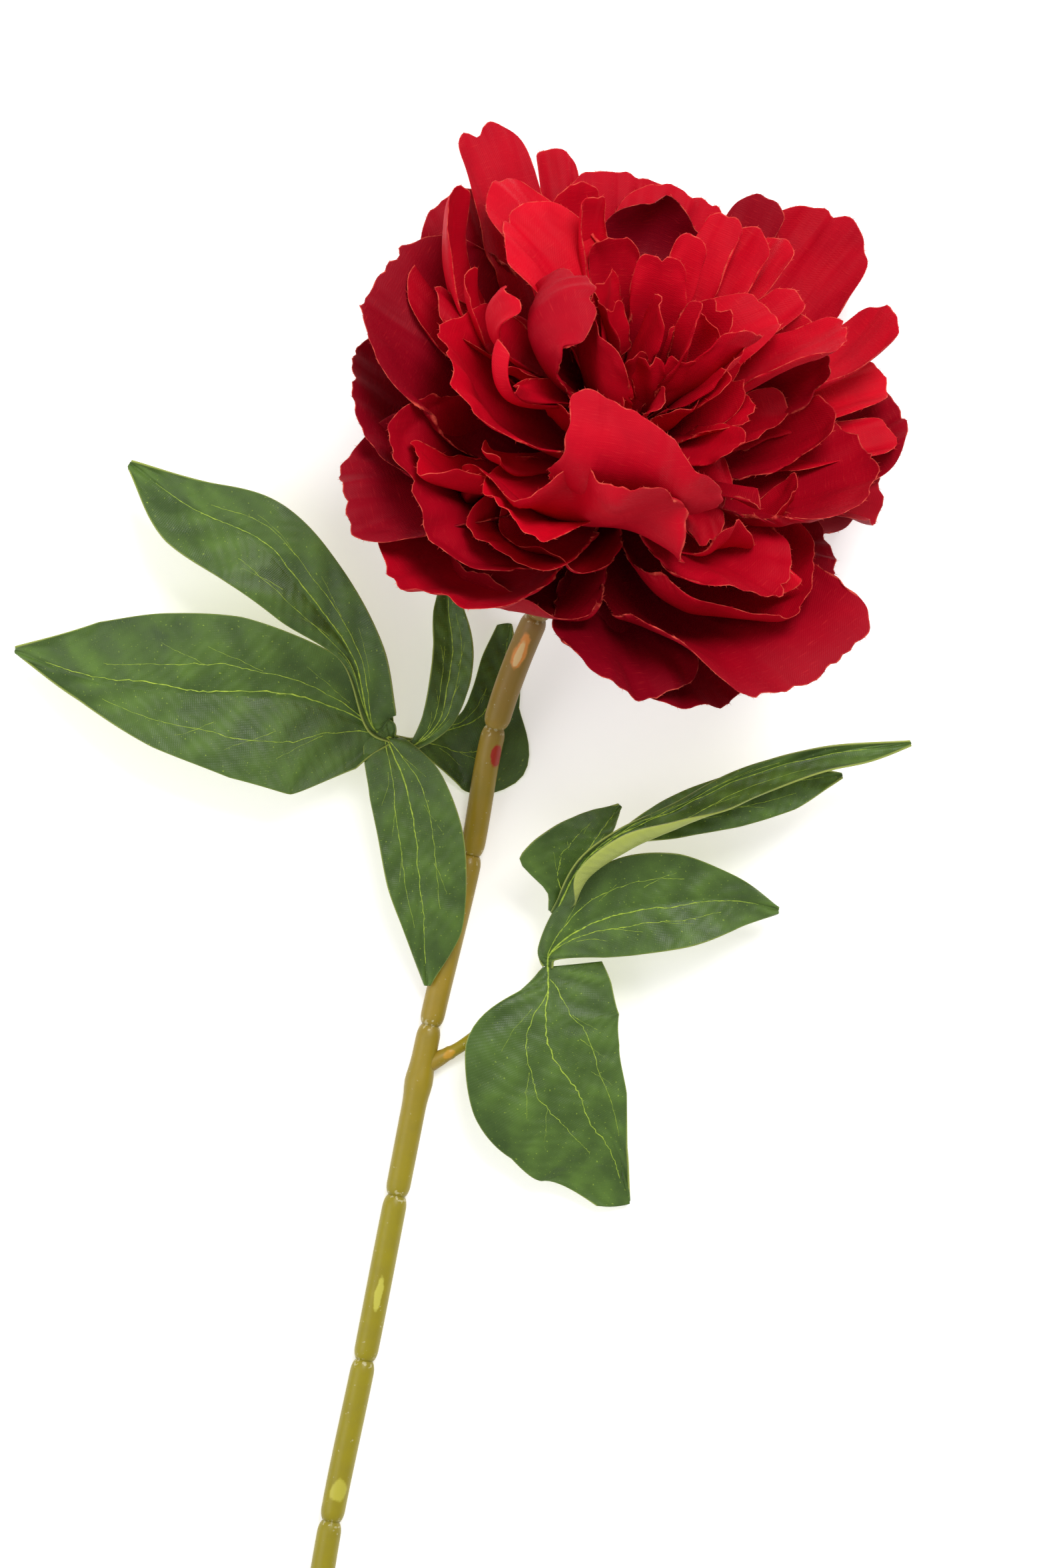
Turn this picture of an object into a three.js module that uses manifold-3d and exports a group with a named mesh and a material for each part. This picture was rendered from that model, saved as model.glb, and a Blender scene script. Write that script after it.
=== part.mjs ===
// An artificial peony that lies on a surface: a bloom of satin petals on a moulded plastic stem,
// with two compound leaves of printed cloth. Millimetres, +Z up. The cut end points along -Y.
import * as THREE from "three";
import { mergeVertices } from "three/addons/utils/BufferGeometryUtils.js";
import Module from "manifold-3d";

const wasm = await Module();
wasm.setup();

const point = (x, y, z) => new THREE.Vector3(x, y, z);
const radians = THREE.MathUtils.degToRad;
const UP = point(0, 0, 1);

// Driving dimensions. Places are measured from the middle of the leafy part of the stem, and the
// whole part is moved at the end, so that its origin is at the bottom centre of its box.
const FIT_GAP = 0.3;

const STEM = { radius: 3.2, waist: 2.5, neckRadius: 3.5, sides: 12, barrel: 2 };
const STEM_REST = STEM.radius * Math.cos(Math.PI / STEM.sides);
// The moulded joints of the stem, from the cut end up to the last one under the flower.
const STEM_JOINTS = [
  point(-64, -284, STEM_REST),
  point(-58, -240, STEM_REST),
  point(-51.2, -197, STEM_REST),
  point(-42.3, -154, STEM_REST),
  point(-33.7, -110, STEM_REST),
  point(-24.6, -64.5, STEM_REST),
  point(-13.8, -19, STEM_REST),
  point(-7.3, 15.2, 10),
  point(3.7, 44.2, 23),
];

const WIRE = { radius: 0.9, sides: 6, intoCalyx: 6 };

// The flower leans up from the surface and turns to the right of the stem.
const BLOOM = { base: point(20.6, 76.7, 48), lean: 47, turn: 20, blade: 0.8, seed: 4021 };
const AXIS = point(
  Math.cos(radians(BLOOM.lean)) * Math.sin(radians(BLOOM.turn)),
  Math.cos(radians(BLOOM.lean)) * Math.cos(radians(BLOOM.turn)),
  Math.sin(radians(BLOOM.lean)),
);
const FRONT = UP.clone().addScaledVector(AXIS, -AXIS.z).normalize();
const SIDE = AXIS.clone().cross(FRONT);

// Radius and height of the core that the petals grow from, and of the green cup under it.
const CORE = [[0, -3], [6, -3], [12, 2], [15, 9], [15, 18], [12, 26], [8, 33], [0, 37]];
const CALYX = [[0, -13], [3.6, -13], [5.4, -11], [7.6, -7.5], [8.6, -3.3], [0, -3.3]];
const CALYX_DEPTH = 13;
const LATHE_SIDES = 14;
const SEPALS = { count: 5, open: 118, length: 24, width: 13, height: -7, root: 4 };

const PETIOLE = { radius: 1.7, tip: 1.4, sides: 8 };
const LEAF = { blade: 0.7, hub: 2.4, rib: 1.3, foot: 1.2 };

// What the petals of one kind share. Angles are in degrees: open is the angle between the flower's
// axis and the petal, low and high bend the petal below and above its widest place, and cup rolls
// it into a trough. wave, lip, height and root are in millimetres, the rest are shares of a size.
const KINDS = {
  guard: { low: -15, high: 15, cup: 35, height: 1, wave: 2.2, lip: 0, cap: 0.75, taper: 0.1, foot: 0.3 },
  bowl: { low: -40, high: -10, cup: 60, height: 5, wave: 1.6, lip: 1.5, cap: 0.7, taper: 0.1, foot: 0.3 },
  tall: { low: 0, high: 5, cup: 25, height: 8, wave: 0.8, lip: 0, cap: 0.9, taper: 0.12, foot: 0.4 },
  wrap: { low: -45, high: -30, cup: 60, height: 16, wave: 1.2, lip: 0.8, cap: 0.8, taper: 0.12, foot: 0.35 },
  inner: { low: -10, high: 10, cup: 35, height: 26, wave: 0.7, lip: 0.5, cap: 0.9, taper: 0.15, foot: 0.4 },
};
const BROAD = 36;
const PLAIN = { roll: 0, sweep: 0, slant: 0, notch: 0, waves: 4, root: 5 };
const WIDEST = 0.62;
const BEND_AT = 0.6;

// Each line is kind, angle round the axis, open, length, width and what differs from the kind.
const PETALS = [
  // Tall petals behind the whorl, from left to right.
  ["tall", 229, 57, 92, 24,
    { low: -11, high: 6, cap: 0.92, cup: 11, foot: 0.48, notch: 3, roll: -2, sweep: 2 }],
  ["tall", 215, 62, 82, 15,
    { height: 11, low: -2, high: 0, cap: 0.89, cup: 24, foot: 0.47, roll: 1, slant: -1, sweep: -1 }],
  ["tall", 200, 57, 78, 42, { height: 6, low: -2, cap: 0.88, cup: 23, slant: 1, sweep: 1 }],
  ["tall", 171, 64, 89, 19,
    { height: 4, low: -11, high: -17, cap: 0.95, cup: 44, foot: 0.34, roll: -7, slant: 1, sweep: -2 }],
  ["tall", 158, 70, 100, 39,
    { low: -30, high: -23, cap: 1, cup: 38, foot: 0.42, notch: 2, roll: 2, slant: 1 }],
  ["tall", 137, 70, 84, 24,
    { height: 12, low: -4, high: -37, cap: 0.91, cup: 44, foot: 0.42, roll: -22, slant: -1,
      sweep: -1 }],
  ["tall", 130, 77, 78, 19, { height: 6, low: -1, high: 7, cap: 0.91, cup: 28, foot: 0.41, slant: -2 }],
  ["guard", 125, 83, 84, 35,
    { height: 6, low: -37, high: -17, cap: 0.8, cup: 34, foot: 0.25, roll: 2 }],
  ["tall", 118, 81, 74, 18, { low: -10, high: -10, cup: 50 }],
  ["guard", 109, 91, 71, 27,
    { height: 6, low: 3, high: -3, cap: 0.78, cup: 36, wave: 3, roll: -2, slant: -3, sweep: 1 }],
  // Guard petals in front and at the left.
  ["guard", 53, 93, 80, 62,
    { height: 2, low: -87, high: 47, cap: 0.39, cup: 56, foot: 0.52, roll: 6, slant: -2, sweep: 6 }],
  ["guard", 94, 92, 61, 41, { height: 0, low: -24, high: -8, cup: 34, foot: 0.29, roll: -2 }],
  ["guard", 50, 99, 68, 52,
    { height: 0, low: -31, high: -26, cap: 0.97, cup: 17, foot: 0.35, notch: 2, roll: 4,
      slant: 4, sweep: -4 }],
  ["guard", 26, 95, 66, 39,
    { height: 0, low: -58, high: 0, cap: 0.5, cup: 22, foot: 0.25, roll: -9, slant: 2, sweep: -1 }],
  ["guard", 304, 90, 70, 46,
    { height: 3, low: 2, high: 22, cap: 0.68, cup: 48, foot: 0.33, wave: 3, roll: -5, slant: -4 }],
  ["guard", 279, 80, 70, 61,
    { height: 6, low: -31, high: -13, cap: 0.8, cup: 44, roll: -5, slant: 1, sweep: -1 }],
  ["guard", 267, 69, 75, 60,
    { height: 6, low: -22, high: 24, cap: 0.68, cup: 37, foot: 0.31, roll: -11, slant: 2, sweep: -1 }],
  ["guard", 236, 65, 80, 46,
    { height: 7, low: -32, high: 10, cap: 0.74, cup: 38, foot: 0.25, roll: -4, sweep: -1 }],
  // Guard petals that the flower lies on, and those over them.
  ["guard", 135, 101, 82, 54, { height: 0, low: 10, high: -60, wave: 1 }],
  ["guard", 175, 95, 70, 60, { height: 0, low: 10, high: -60, wave: 1 }],
  ["guard", 215, 94, 87, 54, { height: 0, low: 10, high: -60, wave: 1 }],
  ["guard", 120, 88, 64, 46, {}],
  // Bowls at the lower left.
  ["bowl", 313, 70, 64, 25,
    { height: 7, low: -27, high: -29, cap: 0.39, cup: 78, foot: 0.33, lip: 0, roll: 15, slant: -1 }],
  ["bowl", 317, 73, 68, 60,
    { height: 8, low: -70, high: -6, cap: 0.36, cup: 52, foot: 0.25, lip: 3, roll: -16,
      slant: 4, sweep: 3 }],
  ["bowl", 337, 88, 58, 65,
    { height: 0, low: -36, high: -101, foot: 0.28, lip: 0, roll: 1, slant: 1, sweep: -1 }],
  ["bowl", 328, 86, 72, 54,
    { height: 2, low: -27, high: -38, cap: 0.65, foot: 0.36, roll: 8, slant: -1, sweep: 1 }],
  ["bowl", 340, 71, 61, 33, { height: 14, high: 3, cup: 39, lip: 0, notch: 2, slant: -8 }],
  ["bowl", 293, 56, 60, 57, { height: 15, low: -35, cup: 55, lip: 0, slant: -3 }],
  // Bowls at the lower right.
  ["bowl", 59, 78, 67, 66,
    { height: 1, low: -43, high: -52, cup: 80, wave: 2.2, lip: 1, slant: 4, sweep: 7 }],
  ["bowl", 52, 79, 58, 37, { height: 13, low: -29, high: -25, cup: 43, slant: 2, sweep: 4 }],
  ["bowl", 78, 79, 32, 39, { height: 14, low: -13, high: 21, cup: 36, notch: 2, slant: 4, sweep: -9 }],
  ["bowl", 108, 78, 67, 86, { height: 13, low: -50, high: -41, cup: 74, slant: 13, sweep: 3 }],
  ["bowl", 79, 74, 54, 26, { height: 9, low: -71, high: -67, cup: 69, slant: -9, sweep: 5 }],
  // Petals that wrap the whorl, seen from outside.
  ["wrap", 323, 21, 43, 31,
    { height: 31, low: -59, high: -3, cap: 0.7, cup: 44, foot: 0.28, roll: -8, slant: 1, sweep: -6 }],
  ["wrap", 14, 37, 73, 44,
    { height: 21, low: -72, high: -70, cap: 0.44, cup: 19, foot: 0.31, wave: 1, lip: 0,
      slant: 12, sweep: -4 }],
  ["wrap", -12, 49, 64, 66,
    { height: 9, low: -50, high: -41, cap: 0.55, cup: 20, foot: 0.3, wave: 4, waves: 6, lip: 3,
      roll: 13, slant: -15 }],
  ["wrap", 295, 21, 67, 34,
    { height: 29, low: -49, high: -130, cap: 0.7, cup: 51, root: 3, slant: -1, sweep: 1 }],
  ["wrap", 138, 57, 59, 31, { height: 24, low: -90, high: -29, cup: 12, slant: 5, sweep: -10 }],
  ["wrap", 105, 53, 43, 24,
    { height: 9, low: -30, high: 14, cap: 0.79, cup: 65, foot: 0.3, slant: -6, sweep: 2 }],
  ["wrap", 121, 76, 60, 30, { low: -62, high: -37, cup: 39, slant: 6, sweep: 2 }],
  // The petal that curls over the whorl, and the bright ones beside it.
  ["tall", 195, 52, 62, 34, { height: 29, low: -16, high: -101, cup: 49, slant: -3, sweep: -3 }],
  ["tall", 252, 45, 67, 35, { height: 17, low: 22, high: 51, cup: 53, slant: 3, sweep: 1 }],
  ["tall", 230, 30, 61, 13, { height: 25, low: -13, high: -35, cup: 79, slant: -1, sweep: 1 }],
  ["tall", 227, 47, 65, 25, { height: 18, low: -10, high: -26, cup: 26, slant: 5, sweep: -2 }],
  // Small petals of the whorl.
  ["inner", 282, 45, 60, 20, { height: 33, low: -45, high: -98, cup: 68, slant: -5, sweep: 4 }],
  ["inner", 190, 13, 39, 17, { height: 36, low: -7, high: 11, cup: 14, notch: 3, sweep: 3 }],
  ["inner", 254, 21, 37, 19, { height: 32, high: -10, cup: 20, notch: 2 }],
  ["inner", 144, 46, 45, 24, { height: 25, low: -21, high: 46, cup: 40, slant: 1, sweep: -6 }],
  ["inner", 161, 51, 57, 17, { high: 0 }],
  ["inner", 140, 55, 53, 15, { height: 24 }],
  ["inner", 275, 70, 55, 18, { height: 21, low: -5, high: 12, cup: 58, slant: 5, sweep: -6 }],
  ["inner", 256, 70, 67, 27, { height: 17, low: -23, high: -31, cup: 22, slant: 3, sweep: 2 }],
];

// Rings of inner petals, from the middle of the whorl outwards.
const RINGS = [
  { count: 3, open: 12, length: 29, width: 16, height: 32 },
  { count: 4, open: 30, length: 34, width: 20, height: 27 },
  { count: 3, open: 42, length: 37, width: 22, height: 22 },
];
const RING_SPREAD = { around: 16, open: 8, length: 5, width: 3, roll: 30, sweep: 5, low: 20, high: 35 };

const clamp01 = (x) => Math.min(1, Math.max(0, x));
const smooth = (x) => clamp01(x) ** 2 * (3 - 2 * clamp01(x));

// The generator of Park and Miller, so that each build draws the same numbers.
function seededDraw(seed) {
  const modulus = 2147483647;
  let state = seed;
  return () => {
    state = (state * 16807) % modulus;
    return state / modulus;
  };
}

// Joining and cutting closed solids.
function solidFrom(geometry) {
  const bare = geometry.clone();
  bare.deleteAttribute("normal");
  bare.deleteAttribute("uv");
  const merged = mergeVertices(bare, 1e-4);
  return new wasm.Manifold(
    new wasm.Mesh({
      numProp: 3,
      vertProperties: merged.getAttribute("position").array,
      triVerts: new Uint32Array(merged.index.array),
    }),
  );
}

function geometryFrom(solid) {
  const mesh = solid.getMesh();
  const geometry = new THREE.BufferGeometry();
  geometry.setAttribute("position", new THREE.BufferAttribute(mesh.vertProperties, 3));
  geometry.setIndex(new THREE.BufferAttribute(mesh.triVerts, 1));
  geometry.computeVertexNormals();
  return geometry;
}

// The outer body of the union: pockets that the blades close off between them are filled.
function join(solids) {
  const bodies = solids.reduce((sum, next) => sum.add(next)).decompose();
  return bodies.reduce((largest, body) => (body.volume() > largest.volume() ? body : largest));
}

// A thin closed blade on a grid of middle points, split into triangles alike on both faces. Where
// its middle is as low as half its thickness, it lies flat on the surface.
// middleAt takes a place across the blade, -1 to 1, and a place along it, 0 to 1.
function blade(middleAt, columns, rows, thickness) {
  const across = columns + 1;
  const middle = (row, column) => middles[row * across + column];
  const middles = [];
  for (let row = 0; row <= rows; row++)
    for (let column = 0; column <= columns; column++)
      middles.push(middleAt((2 * column) / columns - 1, row / rows));

  const positions = [];
  for (const face of [0.5, -0.5])
    for (let row = 0; row <= rows; row++)
      for (let column = 0; column <= columns; column++) {
        const along = middle(Math.min(row + 1, rows), column).clone();
        along.sub(middle(Math.max(row - 1, 0), column));
        const sideways = middle(row, Math.min(column + 1, columns)).clone();
        sideways.sub(middle(row, Math.max(column - 1, 0)));
        const normal = sideways.cross(along).normalize();
        const corner = middle(row, column).clone();
        if (corner.z <= thickness / 2) normal.set(0, 0, Math.sign(normal.z) || 1);
        corner.addScaledVector(normal, face * thickness);
        positions.push(corner.x, corner.y, Math.max(corner.z, 0));
      }

  const lower = across * (rows + 1);
  const triangles = [];
  for (let row = 0; row < rows; row++)
    for (let column = 0; column < columns; column++) {
      const a = row * across + column;
      const [b, c, d] = [a + 1, a + across + 1, a + across];
      triangles.push(a, b, c, a, c, d);
      triangles.push(lower + a, lower + c, lower + b, lower + a, lower + d, lower + c);
    }
  const rim = [];
  for (let column = 0; column < columns; column++) rim.push(column);
  for (let row = 0; row < rows; row++) rim.push(row * across + columns);
  for (let column = columns; column > 0; column--) rim.push(rows * across + column);
  for (let row = rows; row > 0; row--) rim.push(row * across);
  rim.forEach((here, i) => {
    const next = rim[(i + 1) % rim.length];
    triangles.push(lower + here, lower + next, next, lower + here, next, here);
  });

  const geometry = new THREE.BufferGeometry();
  geometry.setAttribute("position", new THREE.Float32BufferAttribute(positions, 3));
  geometry.setIndex(triangles);
  return solidFrom(geometry);
}

// A round bar along a list of stations, each a centre and a radius. One flat of it faces down.
function bar(stations, sides) {
  const positions = [];
  stations.forEach(({ centre, radius }, i) => {
    const before = stations[Math.max(i - 1, 0)].centre;
    const after = stations[Math.min(i + 1, stations.length - 1)].centre;
    const along = stations[i].along ?? after.clone().sub(before).normalize();
    const right = along.clone().cross(UP).normalize();
    const top = right.clone().cross(along);
    for (let side = 0; side < sides; side++) {
      const angle = ((side + 0.5) / sides) * 2 * Math.PI - Math.PI / 2;
      const corner = centre.clone().addScaledVector(right, radius * Math.cos(angle));
      corner.addScaledVector(top, radius * Math.sin(angle));
      positions.push(corner.x, corner.y, corner.z);
    }
  });
  const triangles = [];
  const last = (stations.length - 1) * sides;
  for (let side = 0; side < sides; side++) {
    const next = (side + 1) % sides;
    for (let ring = 0; ring < last; ring += sides) {
      const [a, b, c, d] = [ring + side, ring + next, ring + sides + next, ring + sides + side];
      triangles.push(a, c, b, a, d, c);
    }
    if (side > 0 && side < sides - 1) {
      triangles.push(0, side, side + 1);
      triangles.push(last, last + side + 1, last + side);
    }
  }
  const geometry = new THREE.BufferGeometry();
  geometry.setAttribute("position", new THREE.Float32BufferAttribute(positions, 3));
  geometry.setIndex(triangles);
  return solidFrom(geometry);
}

// The stem and the steel wire in it.
const stemEnd = BLOOM.base.clone().addScaledVector(AXIS, -CALYX_DEPTH - FIT_GAP);
const stemCurve = new THREE.CatmullRomCurve3([...STEM_JOINTS, stemEnd]);
const NECK_JOINTS = 2;

function stemAt(joint, share) {
  const centre = stemCurve.getPoint((joint + share) / STEM_JOINTS.length);
  centre.z = Math.max(centre.z, STEM_REST);
  return centre;
}

function makeStem() {
  const stations = [];
  STEM_JOINTS.forEach((joint, i) => {
    const far = STEM_JOINTS[i + 1] ?? stemEnd;
    const reach = joint.distanceTo(far);
    const radius = i < STEM_JOINTS.length - NECK_JOINTS ? STEM.radius : STEM.neckRadius;
    const places = [
      [0, i === 0 ? radius : STEM.waist],
      [STEM.barrel, radius],
      [reach / 2, radius],
      [reach - STEM.barrel, radius],
    ];
    for (const [distance, size] of places)
      stations.push({ centre: stemAt(i, distance / reach), radius: size });
  });
  stations.push({ centre: stemEnd, radius: STEM.radius, along: AXIS });
  return bar(stations, STEM.sides).subtract(makeCore(WIRE.radius + FIT_GAP, FIT_GAP, 2));
}

// The wire's line, from the cut end up into the cup under the flower.
function makeCore(radius, past, stepsPerJoint) {
  const stations = [];
  const first = STEM_JOINTS[1].clone().sub(STEM_JOINTS[0]).normalize();
  stations.push({ centre: STEM_JOINTS[0].clone().addScaledVector(first, -past), radius, along: first });
  for (let step = 1; step < STEM_JOINTS.length * stepsPerJoint; step++)
    stations.push({ centre: stemAt(0, step / stepsPerJoint), radius });
  stations.push({ centre: stemEnd, radius, along: AXIS });
  const inCalyx = stemEnd.clone().addScaledVector(AXIS, WIRE.intoCalyx + past);
  stations.push({ centre: inCalyx, radius, along: AXIS });
  return bar(stations, WIRE.sides);
}

// The petals. A petal's middle line is two arcs that meet at BEND_AT.
function middleLine(petal) {
  const arc = (start, angle, curl, end) => {
    if (Math.abs(curl) < 1e-6) return [(end - start) * Math.cos(angle), (end - start) * Math.sin(angle)];
    const turned = angle + curl * (end - start);
    return [(Math.sin(turned) - Math.sin(angle)) / curl, (Math.cos(angle) - Math.cos(turned)) / curl];
  };
  const low = radians(petal.low) / BEND_AT;
  const high = radians(petal.high) / (1 - BEND_AT);
  const [lowUp, lowOut] = arc(0, 0, low, BEND_AT);
  const [highUp, highOut] = arc(BEND_AT, radians(petal.low), high, 1);
  const turn = radians(petal.open) - Math.atan2(lowOut + highOut, lowUp + highUp);
  return (share) => {
    const [up, out] = arc(0, turn, low, Math.min(share, BEND_AT));
    const past = Math.max(share, BEND_AT);
    const [moreUp, moreOut] = arc(BEND_AT, turn + radians(petal.low), high, past);
    const angle = turn + low * Math.min(share, BEND_AT) + high * (past - BEND_AT);
    return { up: petal.length * (up + moreUp), out: petal.length * (out + moreOut), angle };
  };
}

// How far the petal reaches at a place across it: a round end with its notch and its slant.
function petalReach(petal, across) {
  const round = petal.cap * (petal.width / 2) * (1 - Math.sqrt(1 - across * across));
  const notch = petal.notch * Math.exp(-(((across - 0.08) / 0.16) ** 2));
  return 1 - (round + notch + petal.slant * across) / petal.length;
}

function petalHalfWidth(petal, share) {
  const opened = Math.sin((Math.PI / 2) * clamp01(share / WIDEST)) ** 1.3;
  const narrowed = petal.taper * smooth((share - WIDEST) / (1 - WIDEST));
  return (petal.width / 2) * (petal.foot + (1 - petal.foot) * opened) * (1 - narrowed);
}

function petalPoint(petal) {
  const line = middleLine(petal);
  const around = radians(petal.around);
  const outward = FRONT.clone().multiplyScalar(Math.cos(around)).addScaledVector(SIDE, Math.sin(around));
  const sideways = AXIS.clone().cross(outward);
  const open = radians(petal.open);
  const chord = AXIS.clone().multiplyScalar(Math.cos(open)).addScaledVector(outward, Math.sin(open));
  const root = BLOOM.base.clone().addScaledVector(AXIS, petal.height).addScaledVector(outward, petal.root);
  const phase = petal.around * 0.37 + petal.open;
  return (column, row) => {
    const across = Math.sin((column * Math.PI) / 2);
    const share = row * petalReach(petal, across);
    const half = petalHalfWidth(petal, share);
    const { up, out, angle } = line(share);
    const cup = radians(petal.cup) * (0.55 + 0.45 * Math.sin(Math.PI * share));
    const rim = clamp01(Math.abs(across) ** 3 * smooth(share / 0.4) + smooth((row - 0.5) / 0.5) ** 2);
    const roundRim = Math.atan2(across * 0.6, row - 0.35);
    const ruffle = petal.wave * rim * Math.sin(petal.waves * roundRim * 1.3 + phase);
    const lift = (half * (1 - Math.cos(cup * across))) / cup + ruffle - petal.lip * rim * rim;
    const place = AXIS.clone().multiplyScalar(up + lift * Math.sin(angle));
    place.addScaledVector(outward, out - lift * Math.cos(angle));
    place.addScaledVector(sideways, (half * Math.sin(cup * across)) / cup + petal.sweep * share ** 2);
    place.applyAxisAngle(chord, radians(petal.roll) * smooth(share / 0.5));
    place.add(root);
    place.z = Math.max(place.z, BLOOM.blade / 2);
    return place;
  };
}

const namedPetal = ([kind, around, open, length, width, differs]) => ({
  ...PLAIN, ...KINDS[kind], around, open, length, width, ...differs,
});

function ringPetals() {
  const draw = seededDraw(BLOOM.seed);
  const within = (spread) => (2 * draw() - 1) * spread;
  const petals = [];
  for (const ring of RINGS) {
    const start = draw() * 360;
    for (let i = 0; i < ring.count; i++)
      petals.push({
        ...PLAIN, ...KINDS.inner,
        around: start + (360 * i) / ring.count + within(RING_SPREAD.around),
        open: ring.open + within(RING_SPREAD.open),
        length: ring.length + within(RING_SPREAD.length),
        width: ring.width + within(RING_SPREAD.width),
        height: ring.height,
        roll: within(RING_SPREAD.roll),
        sweep: within(RING_SPREAD.sweep),
        notch: draw() > 0.6 ? 3 : 0,
        low: -15 + within(RING_SPREAD.low),
        high: 5 + within(RING_SPREAD.high),
      });
  }
  return petals;
}

// A turned body on the flower's axis, from pairs of radius and height.
function turned(profile) {
  const lathe = new THREE.LatheGeometry(profile.map(([r, h]) => new THREE.Vector2(r, h)), LATHE_SIDES);
  lathe.applyQuaternion(new THREE.Quaternion().setFromUnitVectors(point(0, 1, 0), AXIS));
  lathe.translate(BLOOM.base.x, BLOOM.base.y, BLOOM.base.z);
  return solidFrom(lathe);
}

function makeBloom() {
  const petals = [...PETALS.map(namedPetal), ...ringPetals()];
  const blades = petals.map((petal) => {
    const [columns, rows] = petal.width > BROAD ? [3, 4] : [3, 2];
    return blade(petalPoint(petal), columns, rows, BLOOM.blade);
  });
  return join([turned(CORE), ...blades]);
}

function makeCalyx() {
  const sepals = [];
  for (let i = 0; i < SEPALS.count; i++) {
    const sepal = { ...PLAIN, ...KINDS.guard, ...SEPALS, around: (360 * i) / SEPALS.count + 20, wave: 0.5 };
    sepals.push(blade(petalPoint(sepal), 2, 4, BLOOM.blade));
  }
  return join([turned(CALYX), ...sepals]).subtract(makeCore(WIRE.radius + FIT_GAP, FIT_GAP, 2));
}

// The leaves. Each lobe has a rib line that starts at the hub, its half widths right and left of the
// rib at the line's points as one looks from the hub to the tip, and how far it folds, waves and
// curls, the last on the right only.
const LEFT_HUB = point(-34.4, 12, 12);
const LEFT_LOBES = [
  {
    rib: [point(-39.4, 14.6, 14), point(-45, 33.2, 20), point(-56.6, 49.3, 22), point(-69.8, 64, 22),
      point(-87.8, 72.7, 18), point(-104, 85.2, 12)],
    right: [1.2, 7, 9, 12, 12, 8.5, 0.6],
    left: [1.2, 1.5, 3, 10, 14, 11, 1.5],
    fold: 12, wave: 1.2,
  },
  {
    rib: [point(-39.5, 15, 13), point(-56.1, 21.4, 17), point(-75.9, 23.4, 19), point(-95.9, 24.5, 18),
      point(-115.9, 28, 14), point(-135.1, 35.4, 8)],
    right: [1.2, 8, 15, 21, 21, 15.5, 1],
    left: [1.2, 12, 25, 22, 15, 6, 0.6],
    fold: 8, wave: 1.5,
  },
  {
    rib: [point(-35.8, 12.2, 13), point(-31.5, -0.2, 15), point(-29.4, -13.4, 14.5),
      point(-27.8, -26.7, 13), point(-26.6, -40, 11), point(-25.6, -53.5, 7)],
    right: [1.2, 6, 9.5, 9, 8, 4.5, 0.6],
    left: [1.2, 3, 10.5, 13.5, 13, 10.5, 1],
    fold: 4, wave: 0.8,
  },
  {
    rib: [point(-29.6, 10.1, 12), point(-22.2, 16.6, 12), point(-20, 26.3, 12), point(-18.9, 36.1, 11),
      point(-19.9, 46.1, 10), point(-20.1, 56.1, 8)],
    right: [1.2, 1, 3.5, 6, 6, 4.5, 0.6],
    left: [1.2, 1.5, 5, 5, 5, 4, 0.6],
    fold: 15, wave: 0.5,
  },
  {
    rib: [point(-29.2, 11.6, 8), point(-21.6, 14, 1.6), point(-12.8, 17, 0.8), point(-7.2, 23.8, 0.8),
      point(-5, 32.8, 0.8), point(-3.4, 41.9, 2)],
    right: [1.2, 2, 15.5, 20, 7, 4, 0.6],
    left: [1.2, 0.6, 1, 4.5, 6.5, 6, 3.5],
    fold: 0, wave: 0.3,
  },
];
const RIGHT_HUB = point(6.7, -48.6, 11);
const RIGHT_FORK = point(8.7, -34.3, 15);
const RIGHT_FRONT_LOBES = [
  {
    rib: [point(7.1, -45.6, 12), point(16.9, -37.2, 17), point(29.2, -32.9, 20), point(42.1, -31.3, 20),
      point(55.4, -30.5, 16), point(67.9, -33.3, 10)],
    right: [1.2, 2, 10, 12.5, 12, 9.5, 3],
    left: [1.2, 3.5, 10, 14, 13, 6.5, 0.6],
    fold: 8, wave: 1.2,
  },
  {
    rib: [point(6.2, -54.2, 12), point(7.8, -65.1, 13), point(12.4, -76.1, 12), point(19, -86.8, 10),
      point(25, -97.9, 7), point(28, -110.3, 3)],
    right: [1.2, 8, 23.8, 28, 25, 20.5, 6],
    left: [15, 17, 18.5, 15, 10, 3, 0.6],
    fold: 2, wave: 1.2,
  },
];
const RIGHT_BACK_LOBES = [
  {
    rib: [point(16, -20.9, 25), point(26.4, -13, 29), point(40.4, -6.8, 30), point(57.1, 1.1, 28),
      point(78.4, 7.2, 24), point(102.8, 10.8, 17)],
    right: [1.2, 11, 14, 11, 7, 7, 0.6],
    left: [1.2, 1.5, 1.5, 1.8, 2.6, 2.4, 0.6],
    fold: 6, wave: 1, curl: [0, 165, 165, 130, 50, 90, 0],
  },
  {
    rib: [point(25.7, -15.1, 22), point(39.7, -8.6, 23), point(55.6, -2.5, 22), point(70.7, 1.1, 19),
      point(84.7, 2.3, 15)],
    right: [1.2, 2, 6, 9, 8, 0.6],
    left: [1.2, 2, 5, 5, 4, 0.6],
    fold: 6, wave: 0.8,
  },
  {
    rib: [point(14.8, -21.9, 19), point(20.4, -13, 20), point(25.8, -5.8, 17)],
    right: [1.2, 2, 3, 0.6],
    left: [3, 16, 10, 0.6],
    fold: 10, wave: 0.6,
  },
];

// The value at a share of a list that is spaced evenly.
function valueAt(values, share) {
  const at = share * (values.length - 1);
  const first = Math.min(Math.floor(at), values.length - 2);
  return THREE.MathUtils.lerp(values[first], values[first + 1], at - first);
}

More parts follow.
